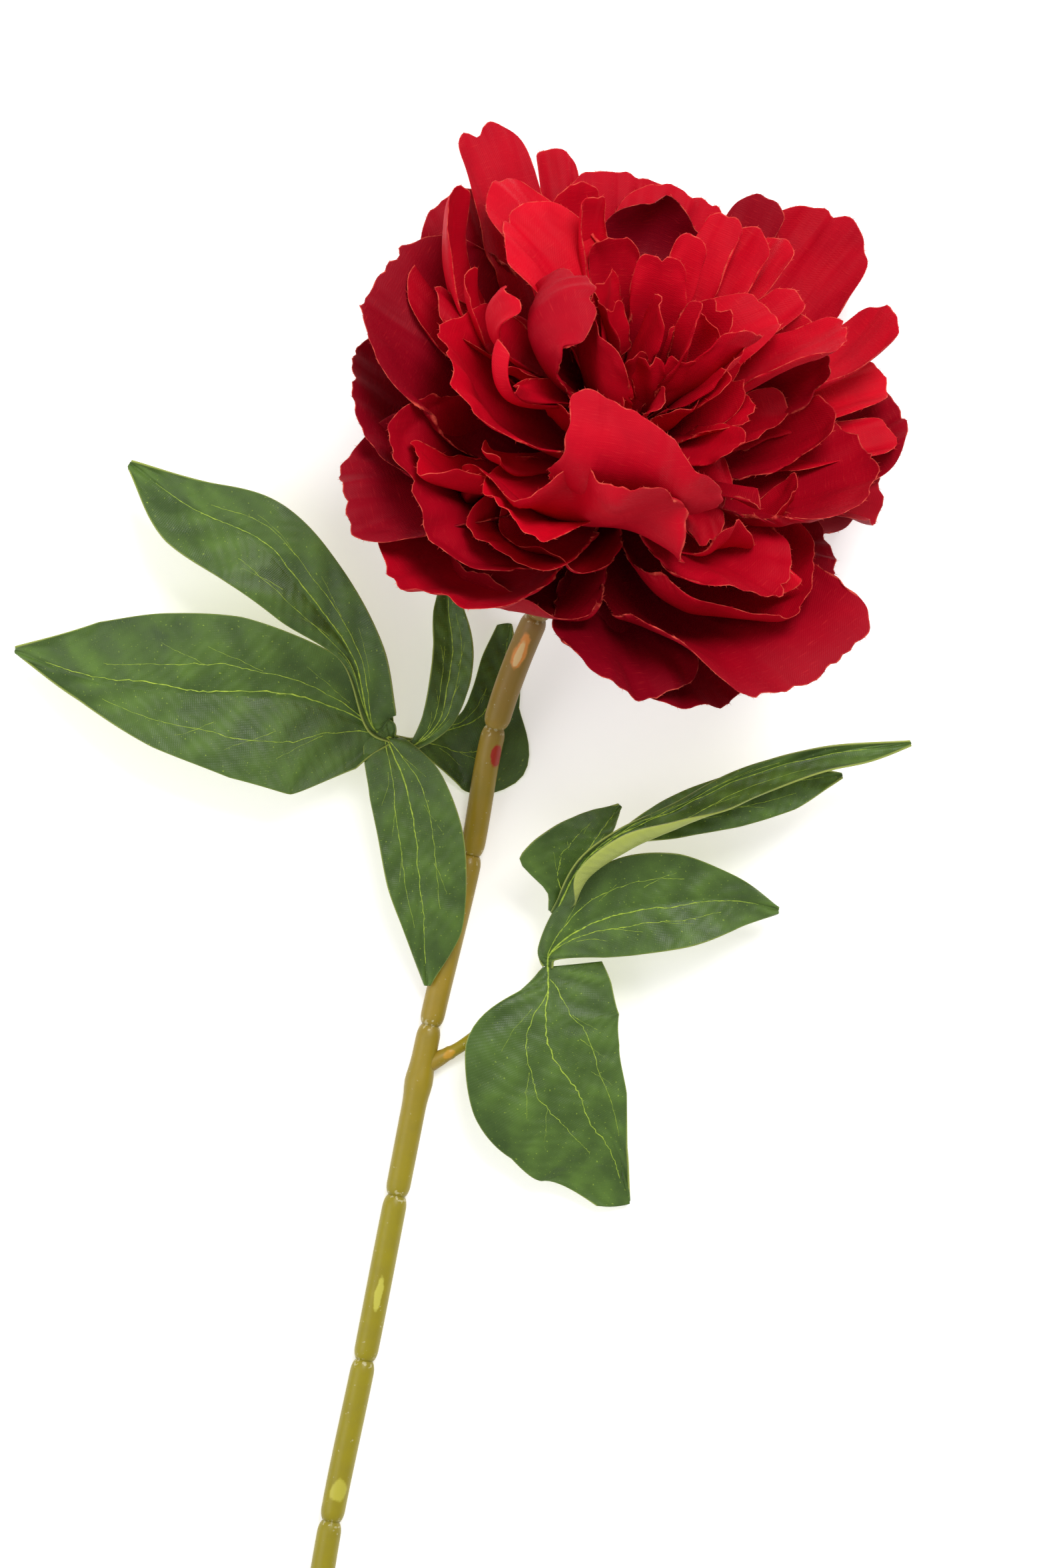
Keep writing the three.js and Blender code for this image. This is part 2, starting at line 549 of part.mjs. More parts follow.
function lobe(start, shape) {
  const curve = new THREE.CatmullRomCurve3([start, ...shape.rib]);
  const fold = radians(shape.fold);
  const middleAt = (across, share) => {
    const place = curve.getPoint(share);
    const along = curve.getTangent(share);
    const rightward = along.clone().cross(UP).normalize();
    const above = rightward.clone().cross(along);
    const half = Math.max(valueAt(across > 0 ? shape.right : shape.left, share), LEAF.foot / 2);
    const curl = across > 0 && shape.curl ? radians(Math.max(valueAt(shape.curl, share), 1)) : radians(1);
    const reach = Math.abs(across);
    const sideways = (half / curl) * (Math.sin(fold + curl * reach) - Math.sin(fold));
    const wave = shape.wave * reach ** 2 * Math.sin(9 * share + 2 * across + shape.rib.at(-1).x);
    const raised = (half / curl) * (Math.cos(fold) - Math.cos(fold + curl * reach)) + wave;
    place.addScaledVector(rightward, Math.sign(across) * sideways).addScaledVector(above, raised);
    place.z = Math.max(place.z, LEAF.blade / 2 + 0.1);
    return place;
  };
  const rows = shape.rib.length > 3 ? shape.rib.length : 2 * shape.rib.length;
  return blade(middleAt, shape.curl ? 6 : 4, rows, LEAF.blade);
}

function hub(centre, radius) {
  const ball = new THREE.SphereGeometry(radius, 10, 6);
  ball.translate(centre.x, centre.y, centre.z);
  return solidFrom(ball);
}

const makeLeftLeaf = () =>
  join([hub(LEFT_HUB, LEAF.hub), ...LEFT_LOBES.map((shape) => lobe(LEFT_HUB, shape))]);

function makeRightLeaf() {
  const link = bar(
    [RIGHT_HUB, RIGHT_HUB.clone().lerp(RIGHT_FORK, 0.5), RIGHT_FORK]
      .map((centre) => ({ centre, radius: LEAF.rib })),
    PETIOLE.sides,
  );
  return join([
    hub(RIGHT_HUB, LEAF.hub),
    link,
    hub(RIGHT_FORK, LEAF.hub * 0.8),
    ...RIGHT_FRONT_LOBES.map((shape) => lobe(RIGHT_HUB, shape)),
    ...RIGHT_BACK_LOBES.map((shape) => lobe(RIGHT_FORK, shape)),
  ]);
}

// The leaf stalks, from the stem's side to just short of the leaf's hub.
const LEFT_STALK = [
  point(-18.4, -18, 3.4), point(-23, -9, 3.8), point(-29.5, 0.5, 4.6), point(-33.2, 8, 6.4), LEFT_HUB,
];
const RIGHT_STALK = [
  point(-22, -73.2, 3.2), point(-16, -69.5, 3.4), point(-8, -61, 4.2), point(2, -53, 7), RIGHT_HUB,
];

function makeStalk(places) {
  const route = new THREE.CatmullRomCurve3(places);
  const length = route.getLength();
  const to = 1 - (LEAF.hub + FIT_GAP) / length;
  const steps = 6;
  const stations = [];
  for (let step = 0; step <= steps; step++) {
    const share = (to * step) / steps;
    const radius = THREE.MathUtils.lerp(PETIOLE.radius, PETIOLE.tip, step / steps);
    stations.push({ centre: route.getPointAt(share), radius });
  }
  return bar(stations, PETIOLE.sides);
}

const MATERIALS = {
  petal: { color: 0xc4121f, roughness: 0.7, metalness: 0 },
  stem: { color: 0x8f8a35, roughness: 0.45, metalness: 0 },
  wire: { color: 0x8c8f92, roughness: 0.4, metalness: 1 },
  leaf: { color: 0x47702f, roughness: 0.55, metalness: 0 },
  calyx: { color: 0x5f7a32, roughness: 0.6, metalness: 0 },
};

const PIECES = {
  stem: [makeStem, MATERIALS.stem],
  stem_wire: [() => makeCore(WIRE.radius, 0, 2), MATERIALS.wire],
  calyx: [makeCalyx, MATERIALS.calyx],
  bloom: [makeBloom, MATERIALS.petal],
  petiole_left: [() => makeStalk(LEFT_STALK), MATERIALS.stem],
  petiole_right: [() => makeStalk(RIGHT_STALK), MATERIALS.stem],
  leaf_left: [makeLeftLeaf, MATERIALS.leaf],
  leaf_right: [makeRightLeaf, MATERIALS.leaf],
};

const plant = new THREE.Group();
for (const [name, [make, finish]] of Object.entries(PIECES)) {
  const mesh = new THREE.Mesh(geometryFrom(make()), new THREE.MeshStandardMaterial(finish));
  mesh.name = name;
  plant.add(mesh);
}
const box = new THREE.Box3().setFromObject(plant);
const middle = box.getCenter(point(0, 0, 0));
plant.position.set(-middle.x, -middle.y, -box.min.z);

const peony = new THREE.Group();
peony.add(plant);
export default peony;
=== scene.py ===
"""The looks of an artificial peony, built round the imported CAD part.

Millimetres are used for the design, as in the part's source, and metres for what Blender gets.
"""

import math

import bpy
import numpy as np
from bpy.props import FloatProperty, FloatVectorProperty, IntProperty, PointerProperty
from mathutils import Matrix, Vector


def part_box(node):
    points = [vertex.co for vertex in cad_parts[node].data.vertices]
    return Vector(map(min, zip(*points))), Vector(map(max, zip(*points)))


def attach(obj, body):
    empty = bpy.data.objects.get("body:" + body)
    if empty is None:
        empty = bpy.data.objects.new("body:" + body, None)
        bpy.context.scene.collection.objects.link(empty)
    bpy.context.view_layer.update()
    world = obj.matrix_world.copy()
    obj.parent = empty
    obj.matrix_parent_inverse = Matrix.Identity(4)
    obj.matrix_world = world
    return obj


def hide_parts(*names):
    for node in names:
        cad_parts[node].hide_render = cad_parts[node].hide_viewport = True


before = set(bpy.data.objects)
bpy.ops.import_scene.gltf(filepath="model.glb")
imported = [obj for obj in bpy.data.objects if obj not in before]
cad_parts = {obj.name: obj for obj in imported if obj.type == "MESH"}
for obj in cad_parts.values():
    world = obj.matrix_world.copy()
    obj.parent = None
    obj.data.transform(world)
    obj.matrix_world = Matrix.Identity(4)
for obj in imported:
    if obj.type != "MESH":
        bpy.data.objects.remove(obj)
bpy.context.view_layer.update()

bl_info = {
    "name": "Peony looks",
    "version": (1, 0, 0),
    "blender": (4, 5, 0),
    "location": "3D View > Sidebar > Peony",
    "description": "Builds an artificial peony with satin petals, printed leaves and a moulded stem",
    "category": "Object",
}

MM = 0.001
UP = np.array((0.0, 0.0, 1.0))

# The stem. A segment narrows to its waist within the shoulder, the more roundly the lower the power is,
# and is thicker in its middle by the belly's share.
STEM_RADIUS, STEM_WAIST, NECK_RADIUS = 3.2, 2.25, 3.5
STEM_SHOULDER, SHOULDER_POWER, STEM_BELLY = 3.2, 0.75, 0.02
# Its rings are at these distances from a joint, then even, from the barrel on.
NEAR_JOINT = np.array((0.0, 0.1, 0.3, 0.6, 1.0, 1.5, 2.1, 2.8))
BARREL_FROM, BARREL_RINGS = 3.5, 24
# Past this distance no joint's colours show.
NO_JOINT = 20.0
# The sides of the solid's stem, and how far from a joint it is as thick as between them.
STEM_SIDES, STEM_BARREL = 12, 2.0
# The stem's line: the moulded joints from the cut end up to the last one under the flower.
STEM_REST = STEM_RADIUS * math.cos(math.pi / STEM_SIDES)
STEM_JOINTS = np.array((
    (-64, -284, STEM_REST), (-58, -240, STEM_REST), (-51.2, -197, STEM_REST),
    (-42.3, -154, STEM_REST), (-33.7, -110, STEM_REST), (-24.6, -64.5, STEM_REST),
    (-13.8, -19, STEM_REST), (-7.3, 15.2, 10), (3.7, 44.2, 23),
))
NECK_JOINTS = 2
# The stem swells a little where the right leaf's stalk leaves it.
COLLAR_AT, COLLAR_REACH, COLLAR_SWELL = -79.5, 3.4, 0.17
WIRE_RADIUS, WIRE_PROUD, WIRE_INTO_CUP, FIT_GAP = 0.9, 0.4, 6.0, 0.3

# The flower's place, its axis, and the directions that face the camera and the side.
BASE = np.array((20.6, 76.7, 48.0))
LEAN, TURN = math.radians(47), math.radians(20)
AXIS = np.array((math.cos(LEAN) * math.sin(TURN), math.cos(LEAN) * math.cos(TURN), math.sin(LEAN)))
FRONT = (UP - AXIS[2] * AXIS) / np.linalg.norm(UP - AXIS[2] * AXIS)
SIDE = np.cross(AXIS, FRONT)

# The cup's outline, as pairs of radius and height on the flower's axis, and the sepals round it.
CUP = ((0, -13), (3.6, -13), (5.4, -11), (7.6, -7.5), (8.6, -3.3), (0, -3.3))
CUP_DEPTH, CUP_SIDES, CUP_RINGS, POLE_RADIUS = 13, 32, 24, 0.02
SEPALS = dict(count=5, open=118, length=24, width=13, height=-7, root=4, wave=0.5)
SEPAL_TURN, SEPAL_THICK, SEPAL_COLUMNS, SEPAL_ROWS, SEPAL_SEED = 20, 0.7, 16, 24, 500

# Where a petal is widest, where its two arcs meet and what its rim turns round, as shares of its length.
WIDEST, BEND_AT, RIM_CENTRE = 0.62, 0.6, 0.35
# How thick the solid's petals and leaves are, and how near to the surface any cloth comes.
LOW_BLADE, LEAF_BLADE, FLOOR_GAP = 0.8, 0.7, 0.02
# A petal's cut edge: depth and length of its fine steps, the number of its nicks, and how far inside
# the rim the last row of points is, all in millimetres.
FINE_STEPS = ((0.32, 0.9), (0.24, 0.48), (0.15, 0.36))
NICKS, PETAL_HEM = 7, 0.35
# The loose fibres: the shortest and the longest against the usual one, and how far they stray.
SHORTEST_FIBRE, LONGEST_FIBRE, FIBRE_SPREAD = 0.25, 1.5, 0.7

# What the petals of one kind share, as in the part's source, and how far each is mixed from the dark dye
# towards the bright one, which is partly its dye and partly painted light and shade.
KINDS = {
    "guard": dict(low=-15, high=15, cup=35, height=1, wave=2.2, lip=0, cap=0.75, taper=0.1, foot=0.3,
        dye_and_shade=0.15),
    "bowl": dict(low=-40, high=-10, cup=60, height=5, wave=1.6, lip=1.5, cap=0.7, taper=0.1, foot=0.3,
        dye_and_shade=0.4),
    "tall": dict(low=0, high=5, cup=25, height=8, wave=0.8, lip=0, cap=0.9, taper=0.12, foot=0.4, dye_and_shade=0.6),
    "wrap": dict(low=-45, high=-30, cup=60, height=16, wave=1.2, lip=0.8, cap=0.8, taper=0.12, foot=0.35,
        dye_and_shade=0.7),
    "inner": dict(low=-10, high=10, cup=35, height=26, wave=0.7, lip=0.5, cap=0.9, taper=0.15, foot=0.4,
        dye_and_shade=0.85),
}
PLAIN = dict(roll=0, sweep=0, slant=0, notch=0, waves=4, root=5)

# Each line is kind, angle round the axis, open, length, width and what differs from the kind.
PETALS = (
    # Tall petals behind the whorl, from left to right.
    ("tall", 229, 57, 92, 24, dict(low=-11, high=6, cap=0.92, cup=11, foot=0.48, notch=3, roll=-2, sweep=2)),
    ("tall", 215, 62, 82, 15, dict(height=11, low=-2, high=0, cap=0.89, cup=24, foot=0.47, roll=1, slant=-1,
        sweep=-1)),
    ("tall", 200, 57, 78, 42, dict(height=6, low=-2, cap=0.88, cup=23, slant=1, sweep=1)),
    ("tall", 188, 61, 74, 35, dict(height=10, low=10, high=10, cup=26, foot=0.39, roll=-6, sweep=-2,
        dye_and_shade=0.7)),
    ("tall", 179, 59, 70, 30, dict(cup=30, dye_and_shade=0.5)),
    ("tall", 171, 64, 89, 19, dict(height=4, low=-11, high=-17, cap=0.95, cup=44, foot=0.34, roll=-7,
        slant=1, sweep=-2, dye_and_shade=0.2)),
    ("tall", 158, 70, 100, 39, dict(low=-30, high=-23, cap=1.0, cup=38, foot=0.42, notch=2, roll=2, slant=1,
        dye_and_shade=0.65)),
    ("tall", 137, 70, 84, 24, dict(height=12, low=-4, high=-37, cap=0.91, cup=44, foot=0.42, roll=-22,
        slant=-1, sweep=-1, dye_and_shade=0.75)),
    ("tall", 130, 77, 78, 19, dict(height=6, low=-1, high=7, cap=0.91, cup=28, foot=0.41, slant=-2,
        dye_and_shade=0.95)),
    ("guard", 125, 83, 84, 35, dict(height=6, low=-37, high=-17, cap=0.8, cup=34, foot=0.25, roll=2,
        dye_and_shade=0.25)),
    ("tall", 118, 81, 74, 18, dict(low=-10, high=-10, cup=50, dye_and_shade=0.85)),
    ("guard", 109, 91, 71, 27, dict(height=6, low=3, high=-3, cap=0.78, cup=36, wave=3, roll=-2, slant=-3,
        sweep=1, dye_and_shade=0.35)),
    # Guard petals in front and at the left.
    ("guard", 53, 93, 80, 62, dict(height=2, low=-87, high=47, cap=0.39, cup=56, foot=0.52, roll=6, slant=-2,
        sweep=6, dye_and_shade=0.3)),
    ("guard", 94, 92, 61, 41, dict(height=0, low=-24, high=-8, cup=34, foot=0.29, roll=-2, dye_and_shade=0.1)),
    ("guard", 50, 99, 68, 52, dict(height=0, low=-31, high=-26, cap=0.97, cup=17, foot=0.35, notch=2, roll=4,
        slant=4, sweep=-4, dye_and_shade=0.1)),
    ("guard", 26, 95, 66, 39, dict(height=0, low=-58, high=0, cap=0.5, cup=22, foot=0.25, roll=-9, slant=2,
        sweep=-1, dye_and_shade=0.05)),
    ("guard", 304, 90, 70, 46, dict(height=3, low=2, high=22, cap=0.68, cup=48, foot=0.33, wave=3, roll=-5,
        slant=-4, dye_and_shade=0.12)),
    ("guard", 279, 80, 70, 61, dict(height=6, low=-31, high=-13, cap=0.8, cup=44, roll=-5, slant=1, sweep=-1,
        dye_and_shade=0.1)),
    ("guard", 267, 69, 75, 60, dict(height=6, low=-22, high=24, cap=0.68, cup=37, foot=0.31, roll=-11,
        slant=2, sweep=-1, dye_and_shade=0.12)),
    ("guard", 236, 65, 80, 46, dict(height=7, low=-32, high=10, cap=0.74, cup=38, foot=0.25, roll=-4,
        sweep=-1, dye_and_shade=0.25)),
    # Guard petals that the flower lies on, and those over them.
    ("guard", 135, 101, 82, 54, dict(height=0, low=10, high=-60, wave=1)),
    ("guard", 175, 95, 70, 60, dict(height=0, low=10, high=-60, wave=1)),
    ("guard", 215, 94, 87, 54, dict(height=0, low=10, high=-60, wave=1)),
    ("guard", 120, 88, 64, 46, dict()),
    ("guard", 154, 78, 72, 50, dict(height=3, dye_and_shade=0.2)),
    ("guard", 198, 78, 74, 50, dict(height=3, dye_and_shade=0.2)),
    # Bowls at the lower left.
    ("bowl", 317, 73, 68, 60, dict(height=8, low=-70, high=-6, cap=0.36, cup=52, foot=0.25, lip=3, roll=-16,
        slant=4, sweep=3, dye_and_shade=0.35)),
    ("bowl", 337, 88, 58, 65, dict(height=0, low=-36, high=-101, foot=0.28, lip=0, roll=1, slant=1, sweep=-1,
        dye_and_shade=0.3)),
    ("bowl", 328, 86, 72, 54, dict(height=2, low=-27, high=-38, cap=0.65, foot=0.36, roll=8, slant=-1,
        sweep=1, dye_and_shade=0.6)),
    ("bowl", 340, 71, 61, 33, dict(height=14, high=3, cup=39, lip=0, notch=2, slant=-8, dye_and_shade=1.0)),
    ("bowl", 341, 76, 58, 36, dict(height=6, lip=0, dye_and_shade=0.6)),
    ("bowl", 349, 79, 48, 40, dict(lip=0, dye_and_shade=0.5)),
    ("bowl", 313, 70, 64, 25, dict(height=7, low=-27, high=-29, cap=0.39, cup=78, foot=0.33, lip=0, roll=15,
        slant=-1, dye_and_shade=0.85)),
    ("bowl", 293, 56, 60, 57, dict(height=15, low=-35, cup=55, lip=0, slant=-3, dye_and_shade=0.8)),
    # Bowls at the lower right.
    ("bowl", 59, 78, 67, 66, dict(height=1, low=-43, high=-52, cup=80, wave=2.2, lip=1, slant=4, sweep=7,
        dye_and_shade=0.6)),
    ("bowl", 52, 79, 58, 37, dict(height=13, low=-29, high=-25, cup=43, slant=2, sweep=4, dye_and_shade=0.55)),
    ("bowl", 64, 87, 54, 16, dict(height=7, low=7, high=9, cup=64, lip=0, slant=-5, sweep=1, dye_and_shade=1.0)),
    ("bowl", 78, 79, 32, 39, dict(height=14, low=-13, high=21, cup=36, notch=2, slant=4, sweep=-9, dye_and_shade=0.6)),
    ("bowl", 58, 70, 52, 28, dict(height=12, low=-75, high=-49, cap=0.8, cup=51, foot=0.31, roll=-5,
        slant=11, sweep=2, dye_and_shade=0.7)),
    ("bowl", 108, 78, 67, 86, dict(height=13, low=-50, high=-41, cup=74, slant=13, sweep=3, dye_and_shade=0.45)),
    ("bowl", 79, 74, 54, 26, dict(height=9, low=-71, high=-67, cup=69, slant=-9, sweep=5, dye_and_shade=0.6)),
    ("bowl", 65, 57, 45, 11, dict(height=8, low=10, high=-4, cup=30, slant=3, sweep=2)),
    # Petals that wrap the whorl, seen from outside.
    ("wrap", 14, 37, 73, 47, dict(height=21, low=-72, high=-70, cap=0.5, cup=19, foot=0.31, wave=1, lip=0,
        slant=12, sweep=-4)),
    ("wrap", -12, 49, 64, 66, dict(height=9, low=-50, high=-41, cap=0.55, cup=20, foot=0.3, wave=5,
        waves=6.5, lip=3, roll=13, slant=-15)),
    ("wrap", 319, 63, 49, 10, dict(height=13, low=0, high=-46, cup=30, slant=1, sweep=1, dye_and_shade=0.85)),
    ("wrap", 307, 50, 48, 10, dict(height=24, low=29, high=-26, cap=0.82, cup=50, foot=0.25, roll=-6,
        slant=-7, sweep=8)),
    ("wrap", 322, 41, 33, 22, dict(height=20, low=-40, high=-20, roll=30)),
    ("wrap", 295, 21, 67, 34, dict(height=29, low=-49, high=-130, cap=0.7, cup=51, root=3, slant=-1, sweep=1,
        dye_and_shade=0.45)),
    ("wrap", 323, 21, 43, 31, dict(height=31, low=-59, high=-3, cap=0.7, cup=44, foot=0.28, roll=-8, slant=1,
        sweep=-6)),
    ("wrap", 138, 57, 59, 31, dict(height=24, low=-90, high=-29, cup=12, slant=5, sweep=-10, dye_and_shade=0.35)),
    ("wrap", 105, 53, 43, 24, dict(height=9, low=-30, high=14, cap=0.79, cup=65, foot=0.3, slant=-6, sweep=2,
        dye_and_shade=0.65)),
    ("wrap", 121, 76, 60, 30, dict(low=-62, high=-37, cup=39, slant=6, sweep=2, dye_and_shade=0.6)),
    # The petal that curls over the whorl, and the bright ones beside it.
    ("tall", 195, 52, 62, 34, dict(height=29, low=-16, high=-101, cup=49, slant=-3, sweep=-3, dye_and_shade=0.0)),
    ("tall", 252, 45, 67, 35, dict(height=17, low=22, high=51, cup=53, slant=3, sweep=1, dye_and_shade=0.95)),
    ("tall", 230, 30, 61, 13, dict(height=25, low=-13, high=-35, cup=79, slant=-1, sweep=1, dye_and_shade=0.95)),
    ("tall", 227, 47, 65, 25, dict(height=18, low=-10, high=-26, cup=26, slant=5, sweep=-2, dye_and_shade=0.8)),
    ("tall", 242, 51, 78, 24, dict(height=10, low=5, high=60, cup=29, slant=5, sweep=-2, dye_and_shade=0.85)),
    ("tall", 248, 51, 85, 27, dict(height=13, low=-41, high=-55, cup=48, roll=30, slant=5, sweep=5,
        dye_and_shade=0.8)),
    # Small petals of the whorl, upright in front and long at the right.
    ("inner", 60, 6, 44, 13, dict(height=32, low=-10, high=0, cup=70, roll=50)),
    ("inner", 85, 22, 46, 18, dict(height=30, low=-15, high=-10, cup=60, roll=-45)),
    ("inner", 70, 30, 34, 11, dict(height=30, high=-10, roll=40, dye_and_shade=0.95)),
    ("inner", 80, 45, 36, 22, dict(height=24, low=-20, high=-10, cup=45, dye_and_shade=0.75)),
    ("inner", 112, 47, 62, 24, dict(height=22, low=-15, high=10, cup=50, roll=-20, dye_and_shade=0.8)),
    ("inner", 304, 56, 55, 10, dict(height=36, low=-30, high=-123, cup=79, roll=35, slant=1, sweep=-4,
        dye_and_shade=0.9)),
    ("inner", 190, 13, 39, 17, dict(height=36, low=-7, high=11, cup=14, notch=3, sweep=3)),
    ("inner", 178, 31, 42, 12, dict(height=34, low=0, high=-10)),
    ("inner", 226, 30, 44, 18, dict(height=30, low=0, high=-30, cup=50, roll=-40, dye_and_shade=0.6)),
    ("inner", 254, 21, 37, 19, dict(height=32, high=-10, cup=20, notch=2)),
    ("inner", 298, -7, 34, 14, dict(height=36, high=0)),
    ("inner", 103, 13, 33, 17, dict(height=34, low=-20, high=-20, cup=60, roll=35)),
    ("inner", 65, 12, 29, 14, dict(height=32, low=-20, high=-10, cup=60, roll=-35)),
    ("inner", 144, 46, 45, 24, dict(height=25, low=-21, high=46, cup=40, slant=1, sweep=-6)),
    ("inner", 171, 45, 57, 15, dict(high=0)),
    ("inner", 161, 51, 57, 17, dict(high=0)),
    ("inner", 157, 57, 62, 17, dict(height=24, high=-10, roll=-25)),
    ("inner", 140, 55, 53, 15, dict(height=24)),
    ("inner", 134, 58, 53, 14, dict(height=22, roll=30)),
    ("inner", 58, 28, 30, 20, dict(height=24, low=-30, high=0, dye_and_shade=0.7)),
    ("inner", 282, 45, 60, 20, dict(height=33, low=-45, high=-98, cup=68, slant=-5, sweep=4)),
    ("inner", 275, 70, 55, 18, dict(height=21, low=-5, high=12, cup=58, slant=5, sweep=-6, dye_and_shade=0.5)),
    ("inner", 274, 54, 59, 14, dict(height=19, low=-29, high=-47, cup=61, slant=4, sweep=-7)),
    ("inner", 256, 70, 67, 27, dict(height=17, low=-23, high=-31, cup=22, slant=3, sweep=2, dye_and_shade=0.5)),
)

# Rings of inner petals between them, from the middle of the whorl outwards.
RINGS = (
    dict(count=3, open=12, length=30, width=13, height=32, dye_and_shade=0.9),
    dict(count=6, open=26, length=35, width=15, height=28, dye_and_shade=0.9),
    dict(count=6, open=42, length=38, width=17, height=22, dye_and_shade=0.8),
)
RING_SPREAD = dict(around=22, open=12, length=7, width=4, roll=65, sweep=7, low=25, high=45)
RING_LOW, RING_HIGH, RING_SHADE, RING_NOTCH, UNNOTCHED = -15, 5, 0.35, 3, 0.6
RING_SEED = 4021

# The leaves. Each lobe has a rib that starts at the hub, its half widths, spaced evenly from the hub to
# the tip, on both sides as one looks that way, and how far it folds, waves and curls.
LEFT_HUB = (-34.4, 12, 12)
LEFT_LOBES = (
    dict(rib=((-39.4, 14.6, 14), (-45, 33.2, 20), (-56.6, 49.3, 22), (-69.8, 64, 22), (-87.8, 72.7, 18),
              (-104, 85.2, 12)),
         right=(1.2, 7, 9, 12, 12, 8.5, 0.6), left=(1.2, 1.5, 3, 10, 14, 11, 1.5), fold=12, wave=1.2),
    dict(rib=((-39.5, 15, 13), (-56.1, 21.4, 17), (-75.9, 23.4, 19), (-95.9, 24.5, 18), (-115.9, 28, 14),
              (-135.1, 35.4, 8)),
         right=(1.2, 8, 15, 21, 21, 15.5, 1), left=(1.2, 12, 25, 22, 15, 6, 0.6), fold=8, wave=1.5),
    dict(rib=((-35.8, 12.2, 13), (-31.5, -0.2, 15), (-29.4, -13.4, 14.5), (-27.8, -26.7, 13),
              (-26.6, -40, 11), (-25.6, -53.5, 7)),
         right=(1.2, 6, 9.5, 9, 8, 4.5, 0.6), left=(1.2, 3, 10.5, 13.5, 13, 10.5, 1), fold=4, wave=0.8),
    dict(rib=((-29.6, 10.1, 12), (-22.2, 16.6, 12), (-20, 26.3, 12), (-18.9, 36.1, 11), (-19.9, 46.1, 10),
              (-20.1, 56.1, 8)),
         right=(1.2, 1, 3.5, 6, 6, 4.5, 0.6), left=(1.2, 1.5, 5, 5, 5, 4, 0.6), fold=15, wave=0.5),
    dict(rib=((-29.2, 11.6, 8), (-21.6, 14, 1.6), (-12.8, 17, 0.8), (-7.2, 23.8, 0.8), (-5, 32.8, 0.8),
              (-3.4, 41.9, 2)),
         right=(1.2, 2, 15.5, 20, 7, 4, 0.6), left=(1.2, 0.6, 1, 4.5, 6.5, 6, 3.5), fold=0, wave=0.3),
)
RIGHT_HUB = (6.7, -48.6, 11)
RIGHT_FORK = (8.7, -34.3, 15)
RIGHT_FRONT_LOBES = (
    dict(rib=((7.1, -45.6, 12), (16.9, -37.2, 17), (29.2, -32.9, 20), (42.1, -31.3, 20), (55.4, -30.5, 16),
              (67.9, -33.3, 10)),
         right=(1.2, 2, 10, 12.5, 12, 8.5, 1.4), left=(1.2, 3.5, 10, 14, 13, 6.5, 0.6), fold=8, wave=1.2),
    dict(rib=((7.2, -54.4, 12), (7.9, -65.1, 13), (12.4, -76.1, 12), (19, -86.8, 10), (25, -97.9, 7),
              (28, -110.3, 3)),
         right=(1.2, 8, 23.8, 28, 25.5, 21.5, 8.5), left=(14.5, 16.5, 18.2, 15, 10, 3, 0.6), fold=2, wave=1),
)
RIGHT_BACK_LOBES = (
    dict(rib=((16, -20.9, 25), (26.4, -13, 29), (40.4, -6.8, 30), (57.1, 1.1, 28), (78.4, 7.2, 24),
              (102.8, 10.8, 17)),
         right=(1.2, 11, 14, 11, 7, 7, 0.6), left=(1.2, 1.5, 1.5, 1.8, 2.6, 2.4, 0.6), fold=6, wave=1,
         curl=(0, 165, 165, 130, 50, 90, 0)),
    dict(rib=((25.7, -15.1, 22), (39.7, -8.6, 23), (55.6, -2.5, 22), (70.7, 1.1, 19), (84.7, 2.3, 15)),
         right=(1.2, 2, 6, 9, 8, 0.6), left=(1.2, 2, 5, 5, 4, 0.6), fold=6, wave=0.8),
    dict(rib=((14.8, -21.9, 19), (20.4, -13, 20), (25.8, -5.8, 17)),
         right=(1.2, 2, 3, 0.6), left=(2, 4.5, 15, 14.2, 12.4, 10.4, 8, 5.6, 3, 0.6), fold=10, wave=0.6),
)
HUB_RADIUS, TIP_ROUND, LEAST_HALF, LEAF_HEM, FLAT_CURL = 2.4, 0.5, 0.3, 0.3, 1e-4
VEIN_SEED, VEIN_SIDES = 90, 6

# The leaf stalks, from the stem's side to just short of the leaf's hub.
LEFT_STALK = ((-18.4, -18, 3.4), (-23, -9, 3.8), (-29.5, 0.5, 4.6), (-33.2, 8, 6.4), LEFT_HUB)
RIGHT_STALK = ((-22, -73.2, 3.2), (-16, -69.8, 3.4), (-7, -62.8, 4.2), (2.6, -54.4, 7), RIGHT_HUB)
STALK_RADIUS, STALK_TIP, STALK_ROOT = 1.7, 1.4, 3.2

# The stage, in metres: the camera looks straight down on the middle of the picture. Each light has its
# place from there, its size and its power, and both aim at one place.
CAMERA_HEIGHT, PICTURE_HEIGHT, SENSOR_HEIGHT, FLOOR_REACH = 1.5, 0.42, 24, 4.0
LIGHTS = (("key", (0.35, 0.75, 1.25), 0.6, 15.0), ("fill", (-0.9, -0.1, 0.9), 0.9, 4.5))
LIGHTS_AIM, ROOM_LIGHT = (0.02, 0.06, 0.04), 0.6


def linear(code):
    """An sRGB hex colour as linear red, green and blue."""
    parts = (int(code[i:i + 2], 16) / 255 for i in (1, 3, 5))
    return tuple(c / 12.92 if c <= 0.04045 else ((c + 0.055) / 1.055) ** 2.4 for c in parts)


def smooth(x):
    """A soft step from 0 to 1."""
    x = np.clip(x, 0, 1)
    return x * x * (3 - 2 * x)


def unit(vectors):
    """The same directions at length 1."""
    return vectors / np.maximum(np.linalg.norm(vectors, axis=-1, keepdims=True), 1e-9)


def seeded_draw(seed):
    """The generator of Park and Miller, as in the part's source."""
    state = seed
    while True:
        state = state * 16807 % 2147483647
        yield state / 2147483647


